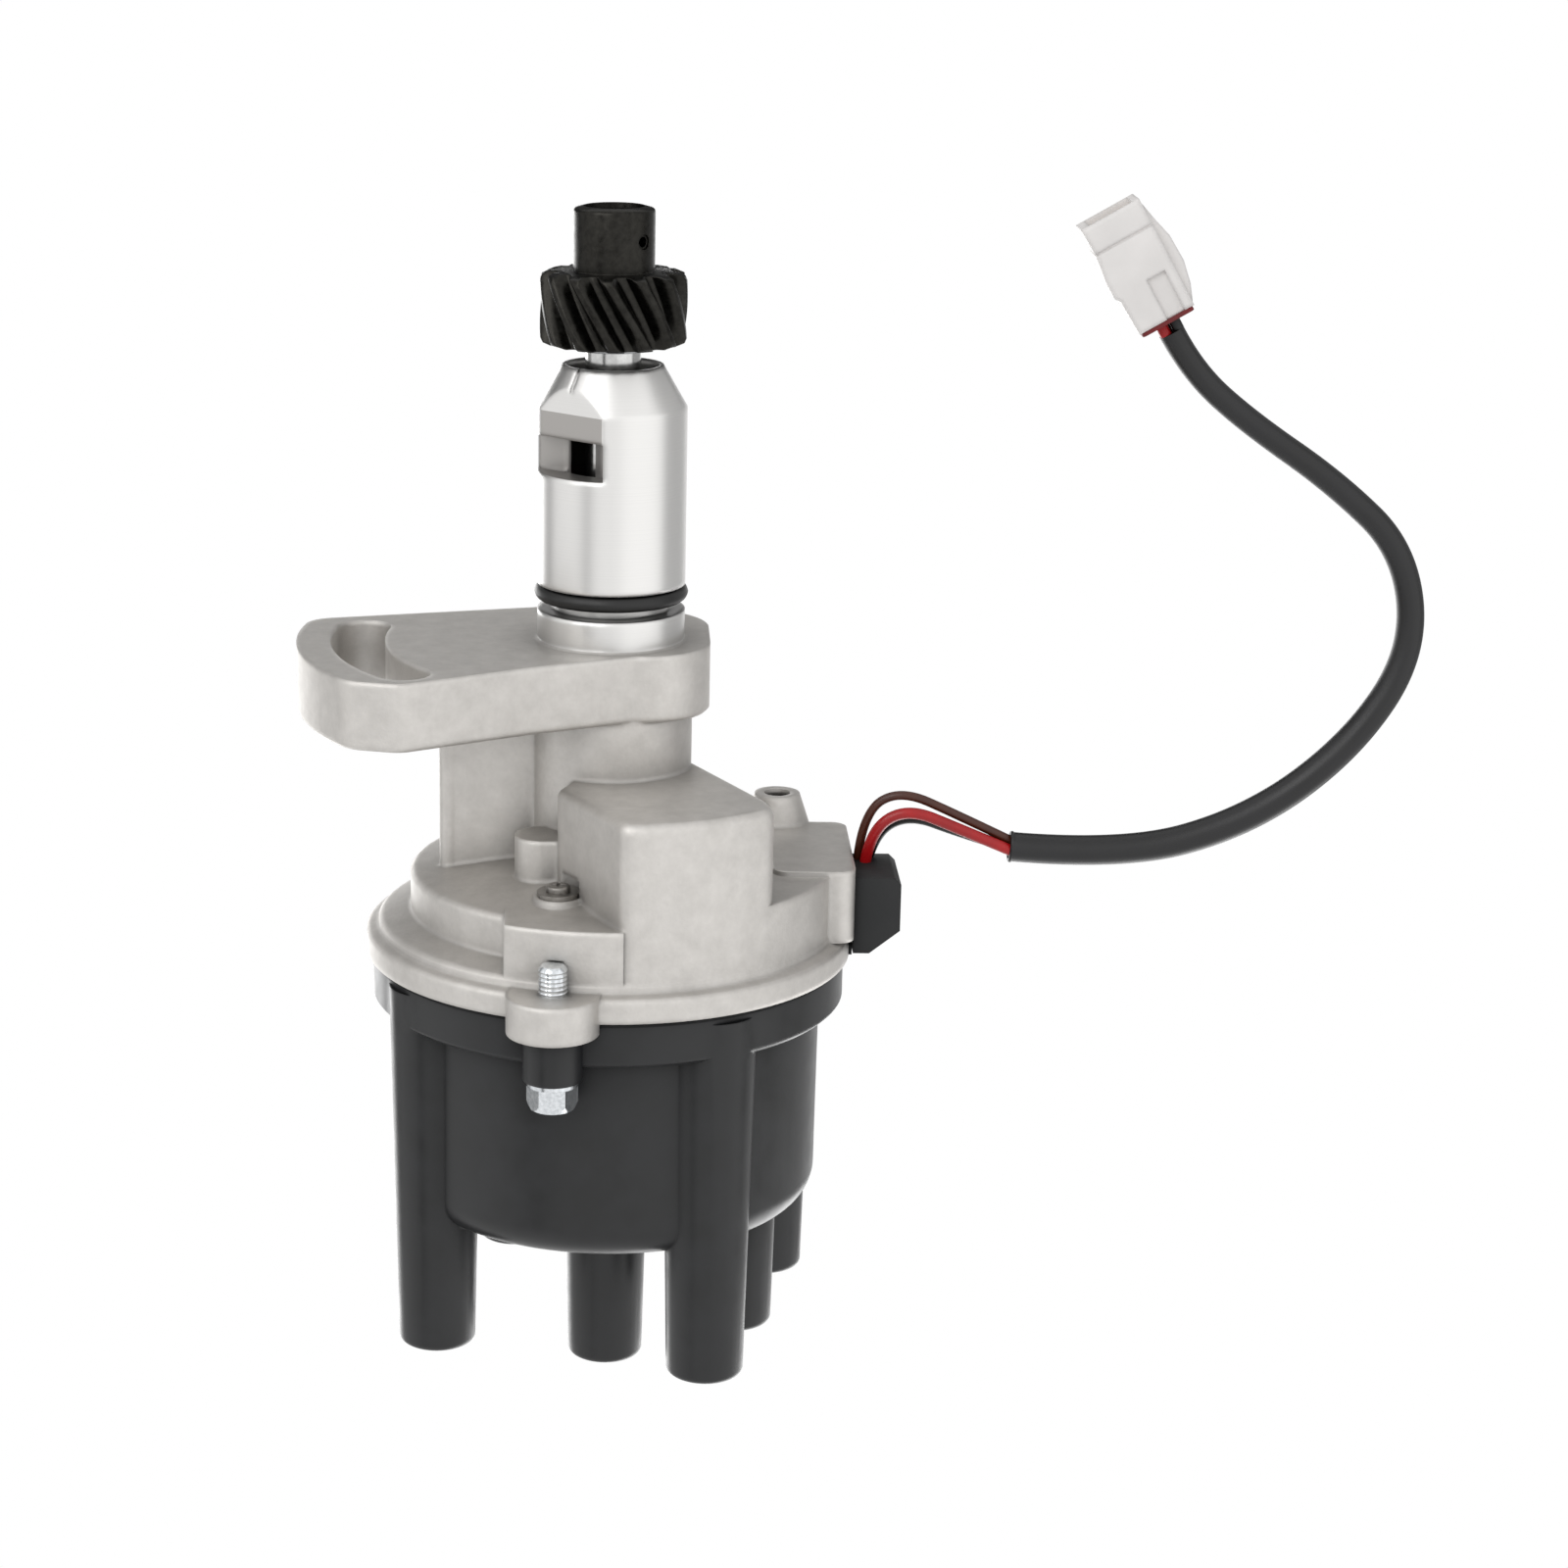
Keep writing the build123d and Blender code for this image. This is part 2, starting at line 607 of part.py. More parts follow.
def small_screw(x, y, seat_z, below):
    """An M3 screw whose head stands above seat_z."""
    head = rod(M3_HEAD_R, seat_z, seat_z + M3_HEAD_HEIGHT, x, y)
    drive = at(x, y, seat_z + M3_HEAD_HEIGHT) * Box(3.4, 0.7, 1.6)
    return rod(M3_R, seat_z - below, seat_z + 0.1, x, y) + head - drive


# Pickup
def make_base_plate():
    plate = tube(PLATE_HOLE_R, plate_r, plate_z, plate_top_z)
    for angle in lug_angles:
        x, y = polar(lug_pitch_r, angle)
        plate -= rod(M3_R + SCREW_FIT, plate_z - 1, plate_top_z + 1, x, y)
    for x in pickup_screw_x:
        plate -= rod(M3_R, plate_z - 1, plate_top_z + 1, x, pickup_foot_y)
    return plate


def make_pickup_core():
    foot_top = plate_top_z + PICKUP_FOOT_THICKNESS
    depth = PICKUP_FOOT_DEPTH / 2
    width = PICKUP_FOOT_HALF
    foot = block(-width, width, pickup_foot_y - depth, pickup_foot_y + depth, plate_top_z, foot_top)
    width = PICKUP_UPRIGHT_HALF
    upright = block(-width, width, pickup_foot_y - 1.4, pickup_foot_y + 2.6, plate_top_z, pole_z + 3.2)
    pole_start = RELUCTOR_R + AIR_GAP
    pole_end = pickup_foot_y
    pole = at(0, (pole_start + pole_end) / 2, pole_z) * Rotation(90, 0, 0) * Cylinder(
        POLE_R, pole_end - pole_start
    )
    core = foot + upright + pole
    for x in pickup_screw_x:
        core -= rod(M3_R + SCREW_FIT, plate_top_z - 1, foot_top + 1, x, pickup_foot_y)
    return core


def make_pickup_coil():
    start = RELUCTOR_R + AIR_GAP + 1.5
    end = pickup_foot_y - 3.4
    length = end - start

    def ring(radius, y0, y1):
        return at(0, (y0 + y1) / 2, pole_z) * Rotation(90, 0, 0) * Cylinder(radius, y1 - y0)

    coil = ring(COIL_R - 0.6, start, end)
    coil += ring(COIL_R, start, start + 1.0) + ring(COIL_R, end - 1.0, end)
    return coil - ring(POLE_R, start - 1, start + length + 1)


# Cap and its conductors
def terminal_solid(angle):
    x, y = polar(tower_pitch_r, angle)
    post = rod(TERMINAL_R, rotor_top_z, tower_top_z - SOCKET_DEPTH + 7.5, x, y)
    half = BLADE_WIDTH / 2
    low = rotor_top_z - 4.5
    blade = block(terminal_inner_r, tower_pitch_r, -half, half, low, rotor_top_z + 4.0)
    return post + turned(angle) * blade


def centre_terminal_solid():
    return rod(TERMINAL_R, button_bore_top_z, centre_top_z - SOCKET_DEPTH + 7.5)


def tower_radius(z, top_z):
    """A tower widens towards the cap, so that it leaves its mould."""
    return TOWER_R + (top_z - z) * math.tan(math.radians(TOWER_DRAFT))


def column(x, y):
    """The rib that carries an outer tower down the cap's side."""
    low = cap_z + 1.0
    foot_r = tower_radius(low, tower_top_z)
    return taper(foot_r, tower_radius(cap_top_z, tower_top_z), low, cap_top_z, x, y)


def tower(x, y, top_z, depth):
    """A tower above the cap's roof, with its socket."""
    stub = taper(tower_radius(cap_top_z, top_z), TOWER_R, cap_top_z, top_z, x, y)
    stub = fillet(stub.edges().group_by(Axis.Z)[-1], TOWER_EDGE_R)
    return stub - rod(SOCKET_R, top_z - depth, top_z + 1, x, y)


def make_towers():
    towers = [tower(0, 0, centre_top_z, SOCKET_DEPTH) - centre_terminal_solid()]
    towers.append(tower(STACK_X, STACK_Y, tower_top_z, STACK_DEPTH))
    for angle in tower_angles:
        x, y = polar(tower_pitch_r, angle)
        towers.append(tower(x, y, tower_top_z, SOCKET_DEPTH) - terminal_solid(angle))
    return towers


def make_cap():
    edge = cap_top_z - CAP_EDGE_R
    profile = Polyline(
        [
            (0, 0, cap_z),
            (cap_flange_r, 0, cap_z),
            (cap_flange_r, 0, cap_flange_top_z - 0.8),
            (cap_flange_r - 0.8, 0, cap_flange_top_z),
            (cap_r + 0.3, 0, cap_flange_top_z),
            (cap_r, 0, edge),
        ]
    )
    inset = CAP_EDGE_R * (1 - math.sqrt(0.5))
    round_edge = ThreePointArc(
        (cap_r, 0, edge), (cap_r - inset, 0, cap_top_z - inset), (cap_r - CAP_EDGE_R, 0, cap_top_z)
    )
    roof = Polyline([(cap_r - CAP_EDGE_R, 0, cap_top_z), (0, 0, cap_top_z), (0, 0, cap_z)])
    cap = revolve(make_face(Curve() + [profile, round_edge, roof]), Axis.Z, 360)
    for angle in tower_angles:
        x, y = polar(tower_pitch_r, angle)
        cap += column(x, y)
    # Ears for the two cap screws, clear of the housing's lips
    for angle in ear_angles:
        x, y = polar(ear_pitch_r, angle)
        ear = rod(CAP_EAR_R, cap_z, cap_ear_top_z, x, y)
        lip_room = tube(cap_flange_r, flange_r + 15, cap_z - 1, ear_bottom_z + SOFT_GAP)
        cap += ear - lip_room
    # Chamber, with the boss that guides the carbon button
    chamber = rod(chamber_r, cap_z - 1, roof_z)
    chamber = fillet(chamber.edges().filter_by(GeomType.CIRCLE).sort_by(Axis.Z)[-1:], 3.0)
    chamber -= rod(BUTTON_R + 2.8, roof_z - 6.0, roof_z + 1)
    cap -= chamber
    cap -= rod(BUTTON_R + SCREW_FIT, roof_z - 7, button_bore_top_z)
    # Seats of the terminals
    for angle in tower_angles:
        cap -= terminal_solid(angle)
    cap -= centre_terminal_solid()
    for angle in ear_angles:
        x, y = polar(ear_pitch_r, angle)
        cap -= rod(M5_R + SCREW_FIT, cap_z - 1, cap_ear_top_z + 1, x, y)
    return cap


def spring(coil_r, wire_r, length, turns):
    """A coil spring along +Z from the origin, its wire's ends cut flat across."""
    pitch = length / turns
    path = Helix(pitch, length, coil_r)
    section = Plane(origin=path @ 0, z_dir=path % 0) * RegularPolygon(wire_r, 6)
    return sweep(section, path, is_frenet=True)


def make_button():
    return rod(BUTTON_R, button_z, button_z + BUTTON_LENGTH)


def make_button_spring():
    start = button_z + BUTTON_LENGTH + 0.3
    end = button_bore_top_z - 0.3
    return at(0, 0, start) * spring(BUTTON_R - 0.6, 0.3, end - start, 5)


# Fasteners that show
def cap_screw(angle):
    x, y = polar(ear_pitch_r, angle)
    under_head = cap_ear_top_z + 1.0
    shank = rod(M5_R, EAR_Z - M5_END_STANDS, under_head + 0.1, x, y)
    shank = chamfer(shank.edges().filter_by(GeomType.CIRCLE).sort_by(Axis.Z)[:1], 0.5)
    across_corners = M5_HEAD_ACROSS_FLATS / math.cos(math.radians(30))
    hexagon = at(x, y, 0) * RegularPolygon(across_corners / 2, 6)
    head_top = under_head + M5_HEAD_HEIGHT
    head = raised(hexagon, under_head, head_top)
    corner_r = across_corners / 2
    bevel = taper(corner_r + 1.4, corner_r - 0.6, under_head, head_top, x, y)
    return shank + (head & bevel)


def cap_washer(angle):
    x, y = polar(ear_pitch_r, angle)
    return tube(M5_R + SCREW_FIT, M5_WASHER_R, cap_ear_top_z, cap_ear_top_z + 1.0, x, y)


def make_ground_screw():
    washer_top = GROUND_PAD_Z - WASHER_THICKNESS
    head_z = washer_top - GROUND_HEAD_HEIGHT
    shank = rod(M3_R, washer_top - 0.1, GROUND_PAD_Z + GROUND_SCREW_LENGTH, GROUND_X, ground_y)
    head = rod(GROUND_HEAD_R, head_z, washer_top, GROUND_X, ground_y)
    head = fillet(head.edges().group_by(Axis.Z)[0], 0.5)
    cross = at(GROUND_X, ground_y, head_z) * (Box(2.6, 0.6, 1.4) + Box(0.6, 2.6, 1.4))
    return shank + head - cross


def make_ground_washer():
    washer_z = GROUND_PAD_Z - WASHER_THICKNESS
    return tube(M3_R + SCREW_FIT, GROUND_WASHER_R, washer_z, GROUND_PAD_Z, GROUND_X, ground_y)


def make_plug():
    plug = rod(M5_R, BOSS_Z + 0.8, BOSS_Z + PLUG_DEPTH - 0.4, boss_x, BOSS_Y)
    socket = at(boss_x, BOSS_Y, 0) * RegularPolygon(1.5, 6)
    return plug - raised(socket, BOSS_Z, BOSS_Z + 3.6)


# Shaft group
def make_shaft():
    low = hub_bottom_z + 0.8
    shaft = rod(SHAFT_R, low, governor_top_z)
    shaft += rod(SPINDLE_R, governor_top_z - 0.1, spindle_top_z)
    shaft -= rod(M4_R, spindle_top_z - 8, spindle_top_z + 1)
    return shaft - roll_pin_bore()


def roll_pin_bore():
    z = gear_bottom_z - HUB_LENGTH / 2
    return at(0, 0, z) * turned(ROLL_PIN_ANGLE) * Rotation(0, 90, 0) * Cylinder(ROLL_PIN_R, 4 * HUB_R)


def make_roll_pin():
    z = gear_bottom_z - HUB_LENGTH / 2
    pin = Cylinder(ROLL_PIN_R, 2 * HUB_R - 0.8) - Cylinder(ROLL_PIN_R - ROLL_PIN_WALL, 4 * HUB_R)
    pin -= at(0, ROLL_PIN_R, 0) * Box(0.5, 2 * ROLL_PIN_R, 4 * HUB_R)
    return at(0, 0, z) * turned(ROLL_PIN_ANGLE) * Rotation(0, 90, 0) * pin


def tooth_sketch():
    """The gear's cross section: trapezoid teeth on the root circle."""
    pitch = 360.0 / GEAR_TEETH
    points = []
    for i in range(GEAR_TEETH):
        middle = i * pitch
        for radius, share in (
            (GEAR_ROOT_R, -0.34),
            (0.5 * (GEAR_ROOT_R + GEAR_R), -0.24),
            (GEAR_R, -0.13),
            (GEAR_R, 0.13),
            (0.5 * (GEAR_ROOT_R + GEAR_R), 0.24),
            (GEAR_ROOT_R, 0.34),
        ):
            points.append(polar(radius, middle + share * pitch))
    return Sketch() + make_face(Polyline(points, close=True))


def make_gear():
    pitch_r = 0.5 * (GEAR_R + GEAR_ROOT_R)
    twist = -math.degrees(GEAR_WIDTH * math.tan(math.radians(HELIX_ANGLE)) / pitch_r)
    steps = 8
    section = tooth_sketch()
    sections = [
        at(0, 0, gear_bottom_z + GEAR_WIDTH * i / steps) * turned(twist * i / steps) * section
        for i in range(steps + 1)
    ]
    gear = loft(sections, ruled=True)
    bevel = 1.6
    rim = turned_profile(
        [
            (0, gear_bottom_z),
            (GEAR_R - bevel, gear_bottom_z),
            (GEAR_R + 0.2, gear_bottom_z + bevel + 0.2),
            (GEAR_R + 0.2, gear_top_z - bevel - 0.2),
            (GEAR_R - bevel, gear_top_z),
            (0, gear_top_z),
        ]
    )
    gear &= rim
    hub = rod(HUB_R, hub_bottom_z, gear_bottom_z + 0.1)
    hub = chamfer(hub.edges().filter_by(GeomType.CIRCLE).sort_by(Axis.Z)[:1], 0.7)
    gear += hub
    gear -= rod(SHAFT_R, hub_bottom_z - 1, gear_top_z + 1)
    return gear - roll_pin_bore()


def make_gear_washer():
    return tube(SHAFT_R + SCREW_FIT, SHAFT_R + 2.2, gear_top_z, gear_top_z + 0.8)


def make_end_washer():
    return tube(SHAFT_R + SCREW_FIT, bush_r - 0.4, FLOOR_Z, governor_z)


def make_governor_plate():
    plate = rod(GOVERNOR_R, governor_plate_z, governor_top_z)
    plate += rod(GOVERNOR_HUB_R, governor_z, governor_top_z)
    for side in (0.0, 180.0):
        plate -= rod(WEIGHT_PIN_R, governor_z, governor_top_z + 1, *polar(WEIGHT_PIVOT_R, side))
        x, y = polar(SPRING_ANCHOR_R, SPRING_ANCHOR_ANGLE + side)
        plate += rod(POST_R, governor_plate_z + 0.1, post_top_z, x, y)
    return plate - rod(SHAFT_R, governor_z - 1, governor_top_z + 1)


def weight_pivot(side):
    x, y = polar(WEIGHT_PIVOT_R, side)
    return rod(WEIGHT_PIN_R, governor_plate_z, weight_top_z + 0.2, x, y)


def governor_spring(side):
    ax, ay = polar(SPRING_ANCHOR_R, SPRING_ANCHOR_ANGLE + side)
    bx, by = polar(SPRING_POST_R, SPRING_POST_ANGLE + side)
    start, end = Vector(ax, ay, spring_z), Vector(bx, by, spring_z)
    along = (end - start).normalized()
    clear = POST_R + SPRING_COIL_R + SPRING_WIRE_R + 0.1
    length = (end - start).length - 2 * clear
    frame = Plane(origin=start + along * clear, z_dir=along)
    eye_r = POST_R + SPRING_WIRE_R + 0.15
    coil = frame * spring(SPRING_COIL_R - SPRING_WIRE_R, SPRING_WIRE_R, length, SPRING_TURNS)
    bars = []
    for centre, direction in ((start, along), (end, along * -1)):
        eye = Location(centre) * Torus(eye_r, SPRING_WIRE_R)
        reach = clear - eye_r
        neck_centre = centre + direction * (eye_r + reach / 2)
        neck = Plane(origin=neck_centre, z_dir=direction) * Cylinder(SPRING_WIRE_R, reach + 0.2)
        end_plane = Plane(origin=centre + direction * clear, z_dir=direction)
        bars += [eye, neck, end_plane * Cylinder(SPRING_COIL_R, 0.5)]
    return coil + bars


def make_weight(side):
    ring = Circle(WEIGHT_OUTER_R) - Circle(WEIGHT_INNER_R)
    half = WEIGHT_SWEEP / 2
    far = WEIGHT_OUTER_R / math.cos(math.radians(half))
    wedge = make_face(
        Polyline(
            [
                (0, 0),
                polar(far, WEIGHT_START),
                polar(far * 1.2, WEIGHT_START + half),
                polar(far, WEIGHT_START + WEIGHT_SWEEP),
            ],
            close=True,
        )
    )
    plan = ring & (Sketch() + wedge)
    slot_start = WEIGHT_PIVOT_R - DRIVE_PIN_PITCH_R
    plan += at(WEIGHT_PIVOT_R, 0, 0) * Circle(4.4)
    plan += at(DRIVE_PIN_PITCH_R, 0, 0) * Circle(2.9)
    plan += at(WEIGHT_PIVOT_R - slot_start / 2, 0, 0) * Rectangle(slot_start, 5.8)
    plan += at(WEIGHT_PIVOT_R - 1.0, 3.8, 0) * Rectangle(6.0, 8.0)
    weight = raised(plan, weight_z, weight_top_z)
    weight -= rod(WEIGHT_PIN_R + RUN_FIT, weight_z - 1, weight_top_z + 1, WEIGHT_PIVOT_R, 0)
    slot_length = 2 * (DRIVE_PIN_R + 0.3) + 0.5
    slot = at(DRIVE_PIN_PITCH_R - 0.2, 0, 0) * SlotOverall(slot_length, 2 * (DRIVE_PIN_R + 0.3))
    weight -= raised(slot, weight_z - 1, weight_top_z + 1)
    return turned(side) * weight


# Advance group
def make_cam_sleeve():
    sleeve = rod(SLEEVE_R, weight_z, reluctor_z)
    sleeve += rod(SLEEVE_R + 1.8, reluctor_z - 0.9, reluctor_z)
    sleeve += rod(SLEEVE_SEAT_R, reluctor_z - 0.1, sleeve_top_z)
    plan = Circle(8.0)
    for side in (0.0, 180.0):
        plan += turned(side) * at(DRIVE_PIN_PITCH_R / 2, 0, 0) * Rectangle(DRIVE_PIN_PITCH_R, 4.6)
        plan += at(*polar(DRIVE_PIN_PITCH_R, side), 0) * Circle(2.3)
        angle = SPRING_POST_ANGLE + side
        plan += turned(angle) * at(SPRING_POST_R / 2, 0, 0) * Rectangle(SPRING_POST_R, 3.6)
        plan += at(*polar(SPRING_POST_R, angle), 0) * Circle(1.8)
    sleeve += raised(plan, cam_plate_z, cam_plate_top_z)
    for side in (0.0, 180.0):
        x, y = polar(DRIVE_PIN_PITCH_R, side)
        sleeve += rod(DRIVE_PIN_R, weight_z + 0.3, cam_plate_z + 0.1, x, y)
        x, y = polar(SPRING_POST_R, SPRING_POST_ANGLE + side)
        sleeve += rod(POST_R, cam_plate_top_z - 0.1, post_top_z, x, y)
    sleeve -= rod(SPINDLE_R + RUN_FIT, weight_z - 1, sleeve_top_z)
    return sleeve - rod(SLEEVE_SEAT_R - 1.6, spindle_top_z - 0.1, sleeve_top_z + 1)


def make_reluctor():
    plan = Circle(RELUCTOR_BODY_R)
    for i in range(TOWER_COUNT):
        plan += turned(90.0 * i) * at(RELUCTOR_BODY_R, 0, 0) * Rectangle(2 * RELUCTOR_BODY_R - 8, 4.0)
    plan = plan & Circle(RELUCTOR_R)
    return raised(plan, reluctor_z, reluctor_z + RELUCTOR_HEIGHT) - rod(
        SLEEVE_SEAT_R, reluctor_z - 1, reluctor_z + RELUCTOR_HEIGHT + 1
    )


def make_rotor():
    reach = rotor_reach - 2.8
    arm_points = [(0, -9.0), (reach, -5.5), (reach, 5.5), (0, 9.0)]
    arm_plan = Circle(ROTOR_SKIRT_R) + make_face(Polyline(arm_points, close=True))
    arm_plan += Circle(15.0) & at(-8.0, 0, 0) * Rectangle(16.0, 14.0)
    rotor = raised(arm_plan, rotor_top_z - 6.0, rotor_top_z)
    rotor += rod(ROTOR_SKIRT_R, rotor_z, rotor_top_z)
    rotor += block(ROTOR_SKIRT_R - 1, reach - 6, -1.5, 1.5, rotor_top_z - 11, rotor_top_z - 5)
    rotor -= rod(SLEEVE_SEAT_R, rotor_z - 1, sleeve_top_z)
    rotor -= at(0, ROTOR_SKIRT_R, rotor_z + 5) * Rotation(90, 0, 0) * Cylinder(M3_R, 2 * ROTOR_SKIRT_R - 13)
    return turned(TOWER_ANGLE) * rotor


def make_electrode():
    strip = at(rotor_reach / 2 - 2.5, 0, 0) * Rectangle(rotor_reach + 5.0, 7.0)
    strip += at(rotor_reach - 3.0, 0, 0) * Rectangle(8.0, 10.0)
    plan = strip & Circle(rotor_reach)
    tip_plan = plan & at(rotor_reach, 0, 0) * Rectangle(5.2, 20.0)
    strip_solid = raised(plan, rotor_top_z, electrode_top_z)
    return turned(TOWER_ANGLE) * (strip_solid + raised(tip_plan, rotor_top_z - 3.5, electrode_top_z))


def make_rotor_screw():
    start = SLEEVE_SEAT_R + 0.1
    end = ROTOR_SKIRT_R - 0.3
    screw = at(0, (start + end) / 2, rotor_z + 5) * Rotation(90, 0, 0) * Cylinder(M3_R, end - start)
    screw -= at(0, end, rotor_z + 5) * Box(0.6, 1.4, 3.4)
    return turned(TOWER_ANGLE) * screw


def make_retaining_washer():
    return tube(M4_R + SCREW_FIT, SLEEVE_SEAT_R - 2.0, spindle_top_z, spindle_top_z + WASHER_THICKNESS)


def make_retaining_screw():
    seat = spindle_top_z + WASHER_THICKNESS
    screw = rod(M4_R, spindle_top_z - 7.5, seat + 0.1) + rod(3.6, seat, seat + 2.4)
    return screw - at(0, 0, seat + 2.4) * Box(5.0, 0.9, 1.8)


# Lead
def route_radii(points):
    """Each corner's arc, as large as its two runs allow."""
    radii = []
    for before, corner, after in zip(points, points[1:], points[2:]):
        run_in = Vector(corner) - Vector(before)
        run_out = Vector(after) - Vector(corner)
        turn = run_in.get_angle(run_out)
        shorter = min(run_in.length, run_out.length)
        radii.append(0.45 * shorter / math.tan(math.radians(turn) / 2))
    return radii


def cord(name, points, radius):
    radii = route_radii(points)
    path = FilletPolyline(points, radius=radii)
    along = (Vector(points[1]) - Vector(points[0])).normalized()
    solid = sweep(Plane(origin=points[0], z_dir=along) * Circle(radius), path)
    expected = math.pi * radius**2 * path.length
    print(name, "length", round(path.length, 1), "radii", [round(r, 1) for r in radii])
    print(name, "volume over section times length", round(solid.volume / expected, 4))
    return solid


def make_grommet():
    x0, x1 = pad_x - GROMMET_DEPTH, pad_x
    z1 = GROMMET_Z + GROMMET_HEIGHT
    outline = make_face(
        Polyline(
            [
                (x1, 0, GROMMET_Z),
                (x0 + 1.2, 0, GROMMET_Z),
                (x0, 0, GROMMET_Z + 1.2),
                (x0, 0, z1 - 4.4),
                (x0 + 5.6, 0, z1),
                (x1, 0, z1),
            ],
            close=True,
        )
    )
    body = extrude(outline, GROMMET_BACK_Y - GROMMET_FRONT_Y, dir=(0, 1, 0))
    body = at(0, GROMMET_FRONT_Y, 0) * body
    low = NOTCH_MIDDLE_Y - NOTCH_HALF
    high = NOTCH_MIDDLE_Y + NOTCH_HALF
    neck = block(x1 - 0.1, -BOWL_R - 0.4, low, high, NOTCH_Z + POCKET_FIT, RIM_Z - 0.2)
    return body + neck


lead_end = Vector(sleeve_points[-1])
lead_heading = (Vector(sleeve_points[-1]) - Vector(sleeve_points[-2])).normalized()
connector_origin = lead_end + lead_heading * (TAIL_LENGTH + SEAL_THICKNESS)
connector_plane = Plane(origin=connector_origin, x_dir=(0, 1, 0), z_dir=lead_heading)
tail_plane = Plane(origin=lead_end, x_dir=(0, 1, 0), z_dir=lead_heading)
tail_places = {"brown": (1.25, 0.0), "red": (-0.85, 1.2), "black": (-0.85, -1.25)}
pin_places = (-3.0, 0.2, 3.4)


def wire_tail(colour, radius):
    x, y = tail_places[colour]
    return tail_plane * rod(radius, 0, TAIL_LENGTH, x, y)


def side_profile(points, depth):
    """A slab of the given depth across X from (y, z) points."""
    face = make_face(Polyline([(0, y, z) for y, z in points], close=True))
    return at(-depth / 2, 0, 0) * extrude(face, depth, dir=(1, 0, 0))


def make_connector():
    """A moulded shell: collar at the mouth, wide waist, bowed latch, channel at the wire end."""
    half, length = CONNECTOR_HALF_WIDTH, CONNECTOR_LENGTH
    collar_z = length - 5.3
    body = side_profile(
        [
            (-half, 0),
            (half, 0),
            (half + 0.3, length * 0.32),
            (half + 1.0, length * 0.36),
            (half + 1.0, length * 0.52),
            (half + 0.4, collar_z),
            (half + 0.6, length),
            (-half, length),
        ],
        CONNECTOR_DEPTH,
    )
    side_x = CONNECTOR_DEPTH / 2
    rims = body.edges().filter_by(lambda e: abs(abs(e.center().X) - side_x) < 0.01)
    body = chamfer(rims, 0.5)
    groove = Rectangle(30, 30) - Rectangle(CONNECTOR_DEPTH - 0.7, 2 * half - 0.2)
    body -= raised(groove, collar_z, collar_z + 0.5)
    body += side_profile(
        [
            (-half + 0.5, 0.5),
            (-half - 0.2, 0.5),
            (-half - 1.3, length * 0.16),
            (-half - 2.1, length * 0.36),
            (-half - 1.9, length * 0.60),
            (-half - 0.9, length * 0.78),
            (-half - 0.2, length * 0.93),
            (-half + 0.5, length * 0.93),
        ],
        LATCH_DEPTH,
    )
    wall = CONNECTOR_WALL
    cavity = at(0, 0.1, 0) * Rectangle(CONNECTOR_DEPTH - 2 * wall, 2 * (half - wall))
    body -= raised(cavity, length - CONNECTOR_CAVITY, length + 1)
    # Recessed channel of the wire end, on the two broad sides
    for side in (-side_x, side_x):
        body -= at(side, 0, 0) * block(-0.8, 0.8, -3.6, 0.0, -1, length * 0.38)
    return connector_plane * (body - connector_pin_solids())


def connector_pin_solids():
    start = CONNECTOR_LENGTH - CONNECTOR_CAVITY - 3
    end = CONNECTOR_LENGTH - 2.5
    return [raised(at(0, y, 0) * Rectangle(0.8, 1.9), start, end) for y in pin_places]


def make_connector_pins():
    """Blade terminals that stand in the mouth."""
    return [connector_plane * pin for pin in connector_pin_solids()]


def make_connector_seal():
    """The wire seal that shows as a thin rim at the wire end."""
    plan = RectangleRounded(CONNECTOR_DEPTH - 1.2, 2 * CONNECTOR_HALF_WIDTH - 0.6, 0.8)
    return connector_plane * raised(plan, -SEAL_THICKNESS, 0)


def group(solids):
    return Compound(children=list(solids))


